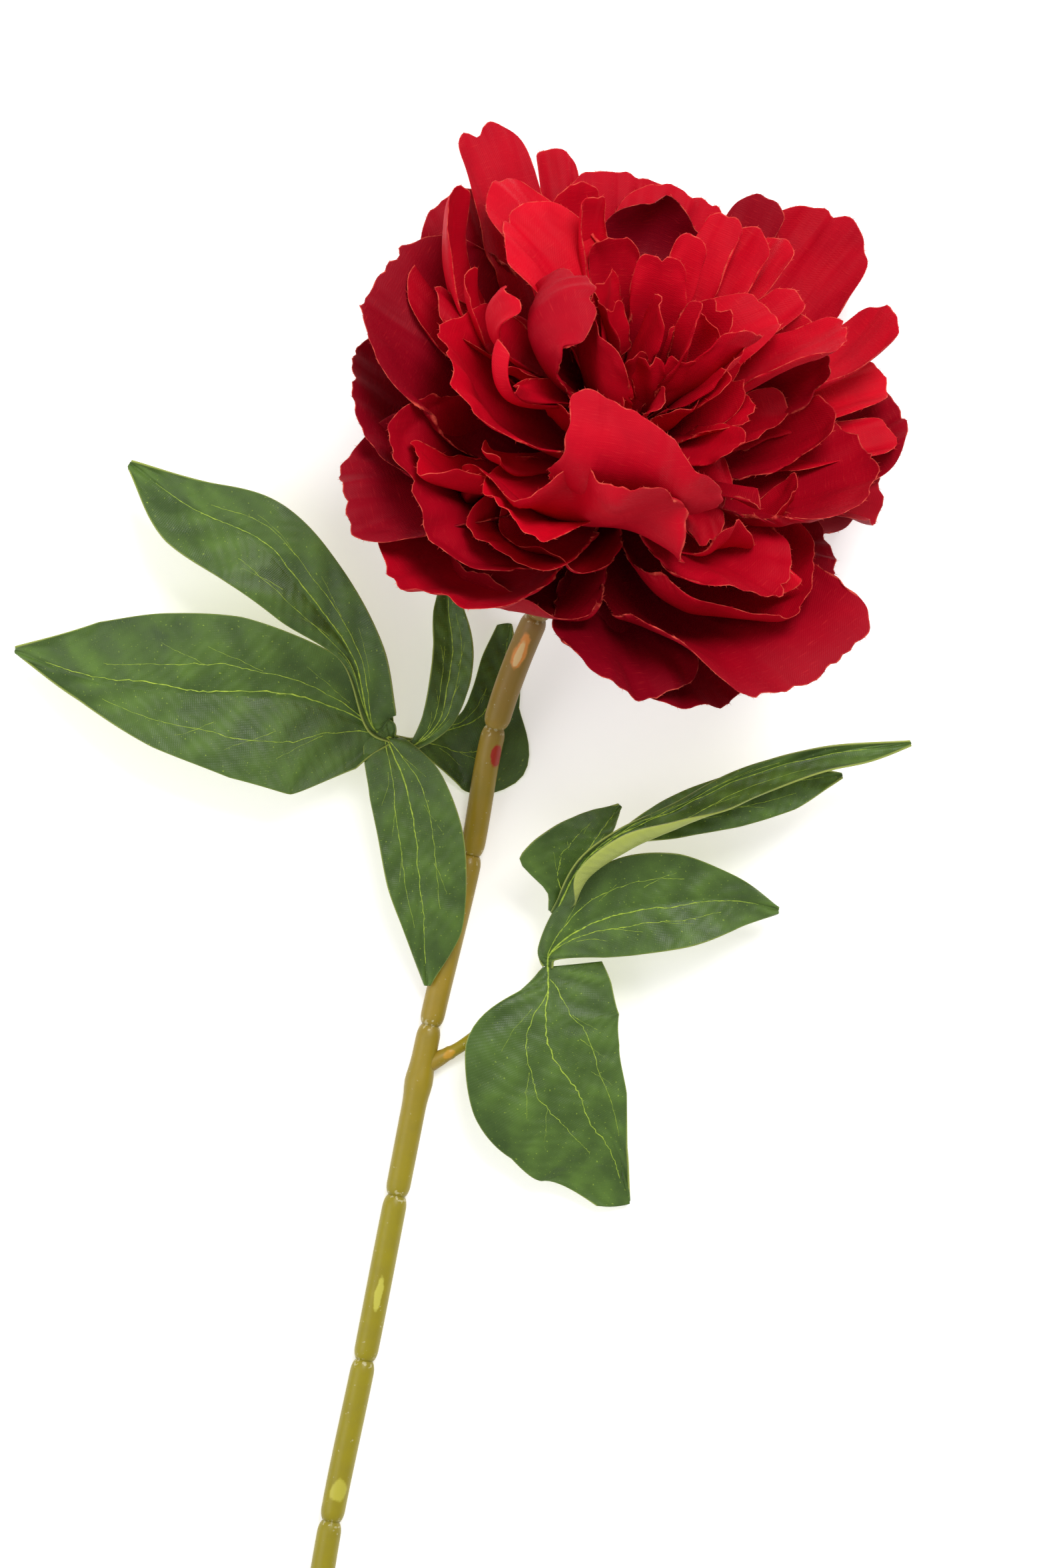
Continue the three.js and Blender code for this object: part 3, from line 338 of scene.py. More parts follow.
def through(points, share):
    """Places on the centripetal Catmull-Rom line through the points, and its direction there."""
    points = np.asarray(points, float)
    padded = np.vstack((2 * points[0] - points[1], points, 2 * points[-1] - points[-2]))
    at = np.clip(np.asarray(share, float), 0, 1) * (len(points) - 1)
    first = np.minimum(at.astype(int), len(points) - 2)
    t = (at - first)[..., None]
    p0, p1, p2, p3 = (padded[first + i] for i in range(4))
    legs = ((p0, p1), (p1, p2), (p2, p3))
    d0, d1, d2 = (np.sqrt(np.linalg.norm(b - a, axis=-1, keepdims=True)) for a, b in legs)
    start = ((p1 - p0) / d0 - (p2 - p0) / (d0 + d1) + (p2 - p1) / d1) * d1
    end = ((p2 - p1) / d1 - (p3 - p1) / (d1 + d2) + (p3 - p2) / d2) * d1
    square, cube = 3 * (p2 - p1) - 2 * start - end, 2 * (p1 - p2) + start + end
    return p1 + start * t + square * t ** 2 + cube * t ** 3, unit(start + 2 * square * t + 3 * cube * t ** 2)


STEM_END = BASE - AXIS * (CUP_DEPTH + FIT_GAP)
STEM_LINE = np.vstack((STEM_JOINTS, STEM_END))


def stem_at(joint, share):
    """Places on the stem's line, a share of the way on from a joint."""
    place = through(STEM_LINE, (joint + np.asarray(share, float)) / len(STEM_JOINTS))[0]
    place[..., 2] = np.maximum(place[..., 2], STEM_REST)
    return place


def find_middle():
    """How far the design's middle is from the part's origin: the stem's lowest corner, which is on its
    cut end, against where the frame has it."""
    reach = np.linalg.norm(STEM_JOINTS[1] - STEM_JOINTS[0])
    along = unit(stem_at(0, STEM_BARREL / reach) - STEM_JOINTS[0])
    right = unit(np.cross(along, UP))
    angle = (np.arange(STEM_SIDES) + 0.5) / STEM_SIDES * 2 * math.pi
    ring = STEM_JOINTS[0] + STEM_RADIUS * (
        np.outer(np.cos(angle), right) + np.outer(np.sin(angle), np.cross(right, along)))
    return np.array(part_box("stem")[0]) / MM - ring.min(axis=0)


MIDDLE = find_middle() * (1, 1, 0)


def in_part(points):
    """Design places, in millimetres, as places in the part's frame, in metres."""
    return (np.asarray(points, float) + MIDDLE) * MM


def petal_from(row):
    """A petal's measures: its own, then its kind's, then the plain ones."""
    kind, around, opened, length, width, differs = row
    return {**PLAIN, **KINDS[kind], "kind": kind, "around": around, "open": opened, "length": length,
            "width": width, **differs}


def ring_petals():
    """The petals of the rings, each with its own small differences from the ring."""
    draw, shade = seeded_draw(RING_SEED), seeded_draw(RING_SEED + 1)
    petals = []
    for ring in RINGS:
        start = next(draw) * 360
        for i in range(ring["count"]):
            def within(name):
                return (2 * next(draw) - 1) * RING_SPREAD[name]
            petal = {**PLAIN, **KINDS["inner"], "kind": "inner", "height": ring["height"]}
            petal["around"] = start + 360 * i / ring["count"] + within("around")
            for name in ("open", "length", "width"):
                petal[name] = ring[name] + within(name)
            petal["roll"], petal["sweep"] = within("roll"), within("sweep")
            petal["notch"] = RING_NOTCH if next(draw) > UNNOTCHED else 0
            petal["low"], petal["high"] = RING_LOW + within("low"), RING_HIGH + within("high")
            # A ring petal's mix of the dyes, partly painted shade, is a little darker at random.
            petal["dye_and_shade"] = ring["dye_and_shade"] - RING_SHADE * next(shade)
            petals.append(petal)
    return petals


def middle_line(petal, share):
    """The petal's middle line: two arcs that meet at BEND_AT, as up, out and angle."""
    def arc(start, angle, curl, end):
        if abs(curl) < 1e-6:
            return (end - start) * np.cos(angle), (end - start) * np.sin(angle)
        turned = angle + curl * (end - start)
        return (np.sin(turned) - np.sin(angle)) / curl, (np.cos(angle) - np.cos(turned)) / curl
    low, high = math.radians(petal["low"]) / BEND_AT, math.radians(petal["high"]) / (1 - BEND_AT)
    low_up, low_out = arc(0, 0, low, BEND_AT)
    high_up, high_out = arc(BEND_AT, low * BEND_AT, high, 1)
    turn = math.radians(petal["open"]) - math.atan2(low_out + high_out, low_up + high_up)
    before, past = np.minimum(share, BEND_AT), np.maximum(share, BEND_AT)
    up, out = arc(0, turn, low, before)
    more_up, more_out = arc(BEND_AT, turn + low * BEND_AT, high, past)
    angle = turn + low * before + high * (past - BEND_AT)
    return petal["length"] * (up + more_up), petal["length"] * (out + more_out), angle


def cut_edge(petal, around_rim, seed):
    """How far the cut edge is inside the petal's drawn outline, in millimetres: long and short
    scallops, the fine steps of the frayed weave and a few nicks."""
    draw = seeded_draw(seed)
    depth = 0.5 * (1 + np.sin(around_rim / (1.8 + 0.8 * next(draw)) + 6 * next(draw)))
    for deep, long in FINE_STEPS:
        depth += deep * (1 + np.sin(around_rim / long + 6 * next(draw)))
    for _ in range(NICKS):
        middle, size = (next(draw) - 0.5) * 2.4 * petal["width"], 0.4 + 1.3 * next(draw) ** 2
        depth += size * np.exp(-((around_rim - middle) / (0.5 + 0.5 * next(draw))) ** 2)
    return depth


def petal_grid(petal, columns, rows, seed):
    """The petal's middle points in millimetres, with its cloth coordinates and the distance to its
    rim. The shape is the one in the part's source, with a cut edge and small creases added."""
    draw = seeded_draw(seed * 7 + 11)
    hem = PETAL_HEM / petal["length"]
    row = np.append(np.linspace(0, 1, rows) * (1 - hem), 1)[:, None]
    column = np.linspace(-1, 1, columns + 1)[None, :]
    across = np.sin(column * math.pi / 2) * np.ones_like(row)
    half_width = petal["width"] / 2
    rim_angle = np.arctan2(across * half_width, (row - RIM_CENTRE) * petal["length"])
    cut = cut_edge(petal, rim_angle * (half_width + RIM_CENTRE * petal["length"]) / 2, seed)
    past_end = petal["cap"] * half_width * (1 - np.cos(column * math.pi / 2)) + petal["slant"] * across
    past_end = past_end + petal["notch"] * np.exp(-((across - 0.08) / 0.16) ** 2)
    past_end = past_end + cut * smooth((row - 0.8) / 0.2)
    share = row * (1 - past_end / petal["length"])
    opened = np.sin(math.pi / 2 * np.clip(share / WIDEST, 0, 1)) ** 1.3
    half = half_width * (petal["foot"] + (1 - petal["foot"]) * opened)
    half = half * (1 - petal["taper"] * smooth((share - WIDEST) / (1 - WIDEST)))
    half = half - cut * np.abs(across) ** 8 * smooth(share / 0.3)
    up, out, angle = middle_line(petal, share)
    cup = math.radians(petal["cup"]) * (0.55 + 0.45 * np.sin(math.pi * share))
    rim = np.clip(np.abs(across) ** 3 * smooth(share / 0.4) + smooth((row - 0.5) / 0.5) ** 2, 0, 1)
    phase = petal["around"] * 0.37 + petal["open"]
    round_rim = np.arctan2(across * 0.6, row - RIM_CENTRE)
    lift = half * (1 - np.cos(cup * across)) / cup - petal["lip"] * rim ** 2
    lift = lift + petal["wave"] * rim * np.sin(petal["waves"] * round_rim * 1.3 + phase)
    # Pleats that fan out from the root, crimps along the rim, and soft buckles over the whole.
    fan = np.sin(across * (9 + 5 * next(draw)) + 6 * next(draw)) * smooth(share / 0.3)
    pleat = np.abs(np.sin(round_rim * (5 + 4 * next(draw)) + 6 * next(draw))) * smooth((share - 0.45) / 0.5)
    crimp = np.sin(round_rim * (16 + 8 * next(draw)) + 6 * next(draw)) * rim ** 1.5
    buckle = np.sin(share * (4 + 4 * next(draw)) + 3 * across + 6 * next(draw))
    buckle = buckle * np.sin(across * 3 + 6 * next(draw))
    size = min(1.0, petal["width"] / 40)
    lift = lift + size * (0.15 * fan + 0.75 * pleat + 0.45 * crimp + 1.3 * buckle * smooth(share / 0.4))
    lift = lift + size * 2.5 * (2 * next(draw) - 1) * smooth((share - 0.75) / 0.25) ** 2
    around, opening = math.radians(petal["around"]), math.radians(petal["open"])
    outward = FRONT * math.cos(around) + SIDE * math.sin(around)
    sideways = np.cross(AXIS, outward)
    lateral = half * np.sin(cup * across) / cup + petal["sweep"] * share ** 2
    place = AXIS * (up + lift * np.sin(angle))[..., None] + outward * (out - lift * np.cos(angle))[..., None]
    place = place + sideways * lateral[..., None]
    chord = AXIS * math.cos(opening) + outward * math.sin(opening)
    roll = (math.radians(petal["roll"]) * smooth(share / 0.5))[..., None]
    kept = (place @ chord)[..., None] * chord
    place = kept + (place - kept) * np.cos(roll) + np.cross(chord, place) * np.sin(roll)
    place = place + BASE + AXIS * petal["height"] + outward * petal["root"]
    place[..., 2] = np.maximum(place[..., 2], LOW_BLADE / 2)
    to_side = half * (1 - np.abs(across))
    to_end = (1 - row) * petal["length"] * np.ones_like(across)
    cloth = np.stack((half * across, share * petal["length"]), axis=-1)
    return place, cloth, np.minimum(to_side, to_end), share


def sheet_body(grid, thickness, layers):
    """Both faces of a thin sheet and the rim between them, from its grid of middle points. Each layer
    is a grid of values that the sheet's points carry; "underside" and the rim's way out are added."""
    rows, columns = grid.shape[:2]
    along, across = np.gradient(grid, axis=0), np.gradient(grid, axis=1)
    normal = unit(np.cross(across, along))
    half = np.broadcast_to(thickness / 2, (rows, columns))[..., None]
    points = np.concatenate([(grid + normal * side * half).reshape(-1, 3) for side in (1, -1)])
    points[:, 2] = np.maximum(points[:, 2], FLOOR_GAP)
    lower = rows * columns
    index = np.arange(lower).reshape(rows, columns)
    a, b, c, d = index[:-1, :-1], index[:-1, 1:], index[1:, 1:], index[1:, :-1]
    top = np.stack((a, b, c, d), axis=-1).reshape(-1, 4)
    faces = [top, top[:, ::-1] + lower]
    loop = np.concatenate((index[0, :-1], index[:-1, -1], index[-1, :0:-1], index[:0:-1, 0]))
    after = np.roll(loop, -1)
    faces.append(np.stack((loop + lower, after + lower, after, loop), axis=-1))
    outward = np.zeros_like(grid)
    outward[:, 0], outward[:, -1] = -across[:, 0], across[:, -1]
    outward[-1] += along[-1]
    rim = np.zeros((rows, columns))
    rim[1:, 0] = rim[1:, -1] = rim[-1] = 1
    values = {name: np.concatenate((layer.reshape(lower, -1),) * 2) for name, layer in layers.items()}
    values["underside"] = np.repeat((0.0, 1.0), lower)[:, None]
    values["rim"] = np.concatenate((rim.reshape(-1, 1), np.zeros((lower, 1))))
    values["outward"] = np.concatenate((unit(outward).reshape(-1, 3),) * 2)
    return points, np.concatenate(faces), values


def in_scene(name, data):
    """A new object of the scene with this data."""
    made = bpy.data.objects.new(name, data)
    bpy.context.scene.collection.objects.link(made)
    return made


def object_from(name, bodies, cloth=None):
    """A mesh object from bodies, each with points in millimetres, faces of four and point values. The
    values named cloth become its UV map."""
    points = in_part(np.concatenate([body[0] for body in bodies]))
    starts = np.cumsum([0] + [len(body[0]) for body in bodies[:-1]])
    faces = np.concatenate([body[1] + start for body, start in zip(bodies, starts)])
    mesh = bpy.data.meshes.new(name)
    mesh.vertices.add(len(points))
    mesh.vertices.foreach_set("co", points.ravel())
    mesh.loops.add(faces.size)
    mesh.loops.foreach_set("vertex_index", faces.ravel().astype(np.int32))
    mesh.polygons.add(len(faces))
    mesh.polygons.foreach_set("loop_start", np.arange(0, faces.size, 4, dtype=np.int32))
    for key in bodies[0][2]:
        values = np.concatenate([body[2][key] for body in bodies]).astype(np.float32)
        if key == cloth:
            layer = mesh.uv_layers.new(name=key)
            layer.uv.foreach_set("vector", values[faces.ravel()].ravel())
        elif values.shape[1] == 3:
            mesh.attributes.new(key, "FLOAT_VECTOR", "POINT").data.foreach_set("vector", values.ravel())
        else:
            mesh.attributes.new(key, "FLOAT", "POINT").data.foreach_set("value", values.ravel())
    mesh.update(calc_edges=True)
    mesh.validate()
    mesh.shade_smooth()
    return in_scene(name, mesh)


def feed(tree, node, inputs):
    """Sets a node's inputs. A node feeds one from its first output, a socket feeds one too, and
    anything else is a plain value."""
    for key, value in inputs.items():
        if isinstance(value, bpy.types.Node):
            value = value.outputs[0]
        if isinstance(value, bpy.types.NodeSocket):
            tree.links.new(value, node.inputs[key])
        else:
            node.inputs[key].default_value = value


def add_node(tree, kind, inputs=None, **settings):
    """A node with its settings and what feeds it."""
    node = tree.nodes.new(kind)
    for name, value in settings.items():
        setattr(node, name, value)
    feed(tree, node, inputs or {})
    return node


def new_tree(name, sockets):
    """An empty geometry tree with its named inputs. Gives the tree, its input node and its output node."""
    tree = bpy.data.node_groups.new(name, "GeometryNodeTree")
    for label, kind in (("Geometry", "NodeSocketGeometry"),) + sockets:
        tree.interface.new_socket(label, in_out="INPUT", socket_type=kind)
    tree.interface.new_socket("Geometry", in_out="OUTPUT", socket_type="NodeSocketGeometry")
    return tree, add_node(tree, "NodeGroupInput"), add_node(tree, "NodeGroupOutput")


def finish_tree(tree, output, geometry, material):
    """The tree's end: instances made real, then the material."""
    real = add_node(tree, "GeometryNodeRealizeInstances", {0: geometry})
    feed(tree, output, {0: add_node(tree, "GeometryNodeSetMaterial", {0: real, "Material": material})})


def grown(made, tree, values):
    """Runs the tree on the object and keeps the result as its plain mesh."""
    modifier = made.modifiers.new(tree.name, "NODES")
    modifier.node_group = tree
    for socket in tree.interface.items_tree:
        if socket.in_out == "INPUT" and socket.name in values:
            modifier[socket.identifier] = values[socket.name]
    graph = bpy.context.evaluated_depsgraph_get()
    mesh = bpy.data.meshes.new_from_object(
        made.evaluated_get(graph), preserve_all_data_layers=True, depsgraph=graph)
    made.modifiers.remove(modifier)
    drawn = made.data
    made.data = mesh
    bpy.data.meshes.remove(drawn)
    mesh.name = made.name
    return made


def bar_tree():
    """A round bar that follows a path, thicker and thinner by the path's girth."""
    tree, given, output = new_tree("Bar along a path", (
        ("Radius", "NodeSocketFloat"), ("Sides", "NodeSocketInt"), ("Material", "NodeSocketMaterial")))
    path = add_node(tree, "GeometryNodeMeshToCurve", {0: given.outputs["Geometry"]})
    girth = add_node(tree, "GeometryNodeInputNamedAttribute", {"Name": "girth"}, data_type="FLOAT")
    scale = add_node(tree, "ShaderNodeMath", {0: girth, 1: given.outputs["Radius"]}, operation="MULTIPLY")
    profile = add_node(tree, "GeometryNodeCurvePrimitiveCircle", {
        "Resolution": given.outputs["Sides"], "Radius": 1.0})
    swept = add_node(tree, "GeometryNodeCurveToMesh", {
        0: path, 1: profile, "Scale": scale, "Fill Caps": True})
    finish_tree(tree, output, swept, given.outputs["Material"])
    return tree


def fray_tree():
    """Loose fibres along the cut rim of cloth, each a thin spike that points away from the cloth."""
    tree, given, output = new_tree("Frayed rim", (
        ("Fibre Spacing", "NodeSocketFloat"), ("Fibre Length", "NodeSocketFloat"),
        ("Fibre Radius", "NodeSocketFloat"), ("Spread", "NodeSocketFloat"), ("Seed", "NodeSocketInt"),
        ("Material", "NodeSocketMaterial")))
    rim = add_node(tree, "GeometryNodeInputNamedAttribute", {"Name": "rim"}, data_type="FLOAT")
    on_rim = add_node(tree, "FunctionNodeCompare", {0: rim, 1: 0.99}, operation="GREATER_THAN")
    path = add_node(tree, "GeometryNodeMeshToCurve", {0: given.outputs["Geometry"], 1: on_rim})
    roots = add_node(tree, "GeometryNodeCurveToPoints", {
        0: path, "Length": given.outputs["Fibre Spacing"]}, mode="LENGTH")
    outward = add_node(tree, "GeometryNodeInputNamedAttribute", {"Name": "outward"}, data_type="FLOAT_VECTOR")
    stray = add_node(tree, "FunctionNodeRandomValue", {
        0: (-1.0, -1.0, -1.0), 1: (1.0, 1.0, 1.0), "Seed": given.outputs["Seed"]}, data_type="FLOAT_VECTOR")
    strayed = add_node(tree, "ShaderNodeVectorMath", {
        0: stray, "Scale": given.outputs["Spread"]}, operation="SCALE")
    heading = add_node(tree, "ShaderNodeVectorMath", {0: outward, 1: strayed}, operation="ADD")
    turned = add_node(tree, "FunctionNodeAlignRotationToVector", {"Vector": heading}, axis="Z")
    size = add_node(tree, "FunctionNodeRandomValue", {
        2: SHORTEST_FIBRE, 3: LONGEST_FIBRE, "Seed": given.outputs["Seed"]}, data_type="FLOAT")
    fibre = add_node(tree, "GeometryNodeMeshCone", {
        "Vertices": 3, "Radius Top": 0.0, "Radius Bottom": given.outputs["Fibre Radius"],
        "Depth": given.outputs["Fibre Length"]}, fill_type="NGON")
    placed = add_node(tree, "GeometryNodeInstanceOnPoints", {
        0: roots, "Instance": fibre, "Rotation": turned, "Scale": size.outputs[1]})
    both = add_node(tree, "GeometryNodeJoinGeometry", {0: placed})
    feed(tree, both, {0: given.outputs["Geometry"]})
    finish_tree(tree, output, both, given.outputs["Material"])
    return tree


def path_object(name, paths):
    """Edge chains from paths, each of points in millimetres with the values that its points carry."""
    mesh = bpy.data.meshes.new(name)
    points, edges = [], []
    for places, _ in paths:
        edges += [(len(points) + i, len(points) + i + 1) for i in range(len(places) - 1)]
        points += [tuple(place) for place in in_part(places)]
    mesh.from_pydata(points, edges, [])
    for key in paths[0][1]:
        values = np.concatenate([carried[key] for _, carried in paths]).astype(np.float32)
        mesh.attributes.new(key, "FLOAT", "POINT").data.foreach_set("value", values)
    return in_scene(name, mesh)


# In the materials below, a Map Range node turns input 0 from the range 1 to 2 (0 to 1 if they aren't
# given) into the range 3 to 4, and output 1 of a Wave Texture is its height alone. Scales are per metre,
# so a pattern of 100 is about a centimetre across.


def new_material(name):
    """An empty material. Gives it with its tree and its shader."""
    material = bpy.data.materials.new(name)
    material.use_nodes = True
    return material, material.node_tree, material.node_tree.nodes["Principled BSDF"]


def laid_over(tree, ground, coats):
    """The ground colour with each coat laid over it in turn, as strongly as its factor says."""
    for strength, colour in coats:
        coat = add_node(tree, "ShaderNodeMix", {0: strength, 6: ground, 7: (*colour, 1)}, data_type="RGBA")
        ground = coat.outputs[2]
    return ground


def embossed(tree, reliefs):
    """One relief on another, each with its strength, its depth in metres and its height."""
    surface = {}
    for strength, depth, height in reliefs:
        relief = add_node(tree, "ShaderNodeBump", {
            "Strength": strength, "Distance": depth, "Height": height, **surface})
        surface = {"Normal": relief}
    return relief


def mottled(name, scale, detail, ground, coat):
    """A material whose colour goes to and fro between two, in fine clouds. Gives it with its tree, its
    shader and the clouds."""
    material, tree, shader = new_material(name)
    place = add_node(tree, "ShaderNodeTexCoord")
    clouds = add_node(tree, "ShaderNodeTexNoise", {
        "Vector": place.outputs["Object"], "Scale": scale, "Detail": detail})
    feed(tree, shader, {"Base Color": laid_over(tree, (*linear(ground), 1), [(clouds, linear(coat))])})
    return material, tree, shader, clouds


def satin(settings):
    """Satin-weave polyester, coloured with dye and heat-pressed: a soft, even sheen with a fine diagonal of
    threads, slubs that catch the light as a painted highlight, a cut edge whose loose ends look paler and
    more orange, and dye mixed with painted light and shade, petal by petal and towards the roots."""
    material, tree, shader = new_material("satin_polyester")
    dye_and_shade, hem, along = (add_node(tree, "ShaderNodeAttribute", attribute_name=name).outputs["Fac"]
                        for name in ("dye_and_shade", "hem", "along"))
    cloth = add_node(tree, "ShaderNodeUVMap", uv_map="cloth")
    # The dye is uneven over a centimetre or two.
    cloudy = add_node(tree, "ShaderNodeTexNoise", {"Vector": cloth, "Scale": 70.0, "Detail": 3.0})
    uneven = add_node(tree, "ShaderNodeMapRange", {0: cloudy, 1: 0.35, 2: 0.7, 3: 0.0, 4: 0.3})
    # Petals are darker towards the root, partly from a deeper dye and partly as painted shade deep inside the
    # flower.
    root_shade_and_dye = add_node(tree, "ShaderNodeMapRange", {0: along, 1: 0.1, 2: 0.65, 3: 0.6, 4: 0.0})
    # Slubs are short runs of thicker thread, half a millimetre wide and some millimetres long; their paler
    # colour is a painted highlight.
    stretched = add_node(tree, "ShaderNodeMapping", {0: cloth, "Scale": (260.0, 2400.0, 1.0)})
    slub = add_node(tree, "ShaderNodeTexNoise", {"Vector": stretched, "Scale": 1.0, "Detail": 1.0})
    slub_glint = add_node(tree, "ShaderNodeMapRange", {0: slub, 1: 0.62, 2: 0.8, 3: 0.0, 4: 0.18})
    # The cut edge is paler in patches of a few millimetres, within a third of a millimetre of the rim.
    edge = add_node(tree, "ShaderNodeMapRange", {0: hem, 1: 0.06, 2: 0.36, 3: 1.0, 4: 0.0})
    ragged = add_node(tree, "ShaderNodeTexNoise", {"Vector": cloth, "Scale": 420.0, "Detail": 3.0})
    patchy = add_node(tree, "ShaderNodeMapRange", {0: ragged, 1: 0.4, 2: 0.62, 3: 0.05, 4: 0.7})
    paler = add_node(tree, "ShaderNodeMath", {0: edge, 1: patchy}, operation="MULTIPLY")
    # Each petal's own value mixes the dark dye towards the bright one; it stands partly for the dye and
    # partly for painted light and shade on the petal.
    dyed_and_shaded = laid_over(tree, (*settings.dark_dye, 1), [
        (dye_and_shade, settings.bright_dye), (uneven, settings.dark_dye), (root_shade_and_dye, settings.root_dye_and_shade),
        (slub_glint, settings.slub_highlight), (paler, settings.edge_dye)])
    # A real satin thread is about 0.2 mm; the diagonal is drawn at 0.44 mm, as the eye sees it.
    twill = add_node(tree, "ShaderNodeTexWave", {
        "Vector": cloth, "Scale": 1010.0, "Distortion": 1.2, "Detail": 1.0, "Detail Scale": 0.6},
        bands_direction="DIAGONAL").outputs[1]
    # Creases a few millimetres wide run along the petal.
    drawn_out = add_node(tree, "ShaderNodeMapping", {0: cloth, "Scale": (330.0, 60.0, 1.0)})
    crease = add_node(tree, "ShaderNodeTexNoise", {"Vector": drawn_out, "Scale": 1.0, "Detail": 2.0})
    relief = embossed(tree, [(0.22, 0.00012, twill), (0.3, 0.0002, slub), (0.5, 0.0008, crease)])
    gloss = add_node(tree, "ShaderNodeMapRange", {0: twill, 3: 0.5, 4: 0.68})
    feed(tree, shader, {
        "Base Color": dyed_and_shaded, "Normal": relief, "Roughness": gloss, "IOR": 1.5, "Specular IOR Level": 0.09,
        "Sheen Weight": 0.01, "Sheen Roughness": 0.45, "Sheen Tint": (*linear("#FF3A30"), 1)})
    return material


# Marks on the stem in design millimetres: the place, the turn in degrees against the sun, half the
# length and width, the sRGB colour and how strong it is. The later ones lie over the earlier ones, and
# all reach up and down from their place by the mark depth.
MARK_DEPTH = 8.0
STEM_MARKS = (
    ((-38.3, -135.6, 6.4), -11, 5.4, 1.0, "#C3BE4E", 0.8),
    ((-49.0, -188.2, 6.4), -12, 3.0, 2.0, "#B9B23F", 0.8),
    ((-0.4, 35.2, 22.0), -22, 5.2, 1.7, "#D98A3A", 0.85),
    ((-0.8, 34.6, 21.6), -22, 3.8, 0.9, "#D9BF86", 0.8),
    ((-6.8, 7.4, 12.6), -14, 3.4, 1.7, "#A01208", 0.95),
    ((-19.6, -72.2, 5.0), -58, 1.8, 1.1, "#C8932E", 0.7),
)


def moulded_stem(settings):
    """Polyethylene moulded over wire and tinted by hand: waxy, faintly clouded, with an olive body that
    turns brown and then reddish towards the flower, and pale flash and painted shade at the joints."""
    material, tree, shader = new_material("moulded_polyethylene")
    place = add_node(tree, "ShaderNodeTexCoord").outputs["Object"]
    rise, joint = (add_node(tree, "ShaderNodeAttribute", attribute_name=name).outputs["Fac"]
                   for name in ("rise", "joint"))
    bands = add_node(tree, "ShaderNodeValToRGB", {0: rise})
    ramp = bands.color_ramp
    stops = ((0.0, settings.low_tint), (0.46, settings.low_tint), (0.62, settings.middle_tint),
             (0.78, settings.middle_tint), (0.93, settings.neck_tint))
    for where, tint in stops[2:]:
        ramp.elements.new(where)
    for element, (where, tint) in zip(sorted(ramp.elements, key=lambda e: e.position), stops):
        element.position, element.color = where, (*tint, 1)
    cloudy = add_node(tree, "ShaderNodeTexNoise", {
        "Vector": place, "Scale": 160.0, "Detail": 4.0, "Roughness": 0.6})
    shaded = add_node(tree, "ShaderNodeMapRange", {0: cloudy, 1: 0.35, 2: 0.75, 3: 0.0, 4: 0.35})
    # Pale flecks of flash sit within three millimetres of each waist.
    speckle = add_node(tree, "ShaderNodeTexNoise", {"Vector": place, "Scale": 900.0, "Detail": 2.0})
    near = add_node(tree, "ShaderNodeMapRange", {0: joint, 1: 0.4, 2: 3.2, 3: 0.16, 4: 0.0})
    flash = add_node(tree, "ShaderNodeMath", {0: speckle, 1: near}, operation="ADD")
    fleck = add_node(tree, "ShaderNodeMapRange", {0: flash, 1: 0.7, 2: 0.78, 3: 0.0, 4: 0.4})
    # Painted shade: the stem is darker within a few tenths of a millimetre of each joint's waist.
    joint_shade = add_node(tree, "ShaderNodeMapRange", {0: joint, 1: 0.1, 2: 0.7, 3: 0.15, 4: 0.0})
    coats = [(shaded, settings.stem_shade), (fleck, settings.flash_tint), (joint_shade, settings.joint_shade_tint)]
    for where, turned, half_length, half_width, tint, strength in STEM_MARKS:
        lens = add_node(tree, "ShaderNodeMapping", {
            0: place, "Location": tuple(in_part(where)), "Rotation": (0, 0, math.radians(turned)),
            "Scale": (half_width * MM, half_length * MM, MARK_DEPTH * MM)}, vector_type="TEXTURE")
        away = add_node(tree, "ShaderNodeVectorMath", {0: lens}, operation="LENGTH").outputs["Value"]
        ragged = add_node(tree, "ShaderNodeMath", {0: cloudy, 1: 1.8, 2: away}, operation="MULTIPLY_ADD")
        dab = add_node(tree, "ShaderNodeMapRange", {0: ragged, 1: 1.7, 2: 2.0, 3: strength, 4: 0.0})
        coats.append((dab, linear(tint)))
    feed(tree, shader, {
        "Base Color": laid_over(tree, bands, coats),
        "Roughness": add_node(tree, "ShaderNodeMapRange", {0: cloudy, 3: 0.32, 4: 0.5}),
        "Normal": embossed(tree, [(0.15, 0.0003, cloudy)]), "IOR": 1.51, "Specular IOR Level": 0.38,
        "Subsurface Weight": 0.15, "Subsurface Scale": 0.002, "Subsurface Radius": (1.0, 0.8, 0.3)})
    return material


def wire_steel():
    """Drawn steel wire: bright grey, with duller specks of less than half a millimetre."""
    material, tree, shader, specks = mottled("drawn_steel_wire", 2500.0, 2.0, "#8C8F92", "#6A6560")
    dull = add_node(tree, "ShaderNodeMapRange", {0: specks, 3: 0.3, 4: 0.5})
    feed(tree, shader, {"Roughness": dull, "Metallic": 1.0})
    return material


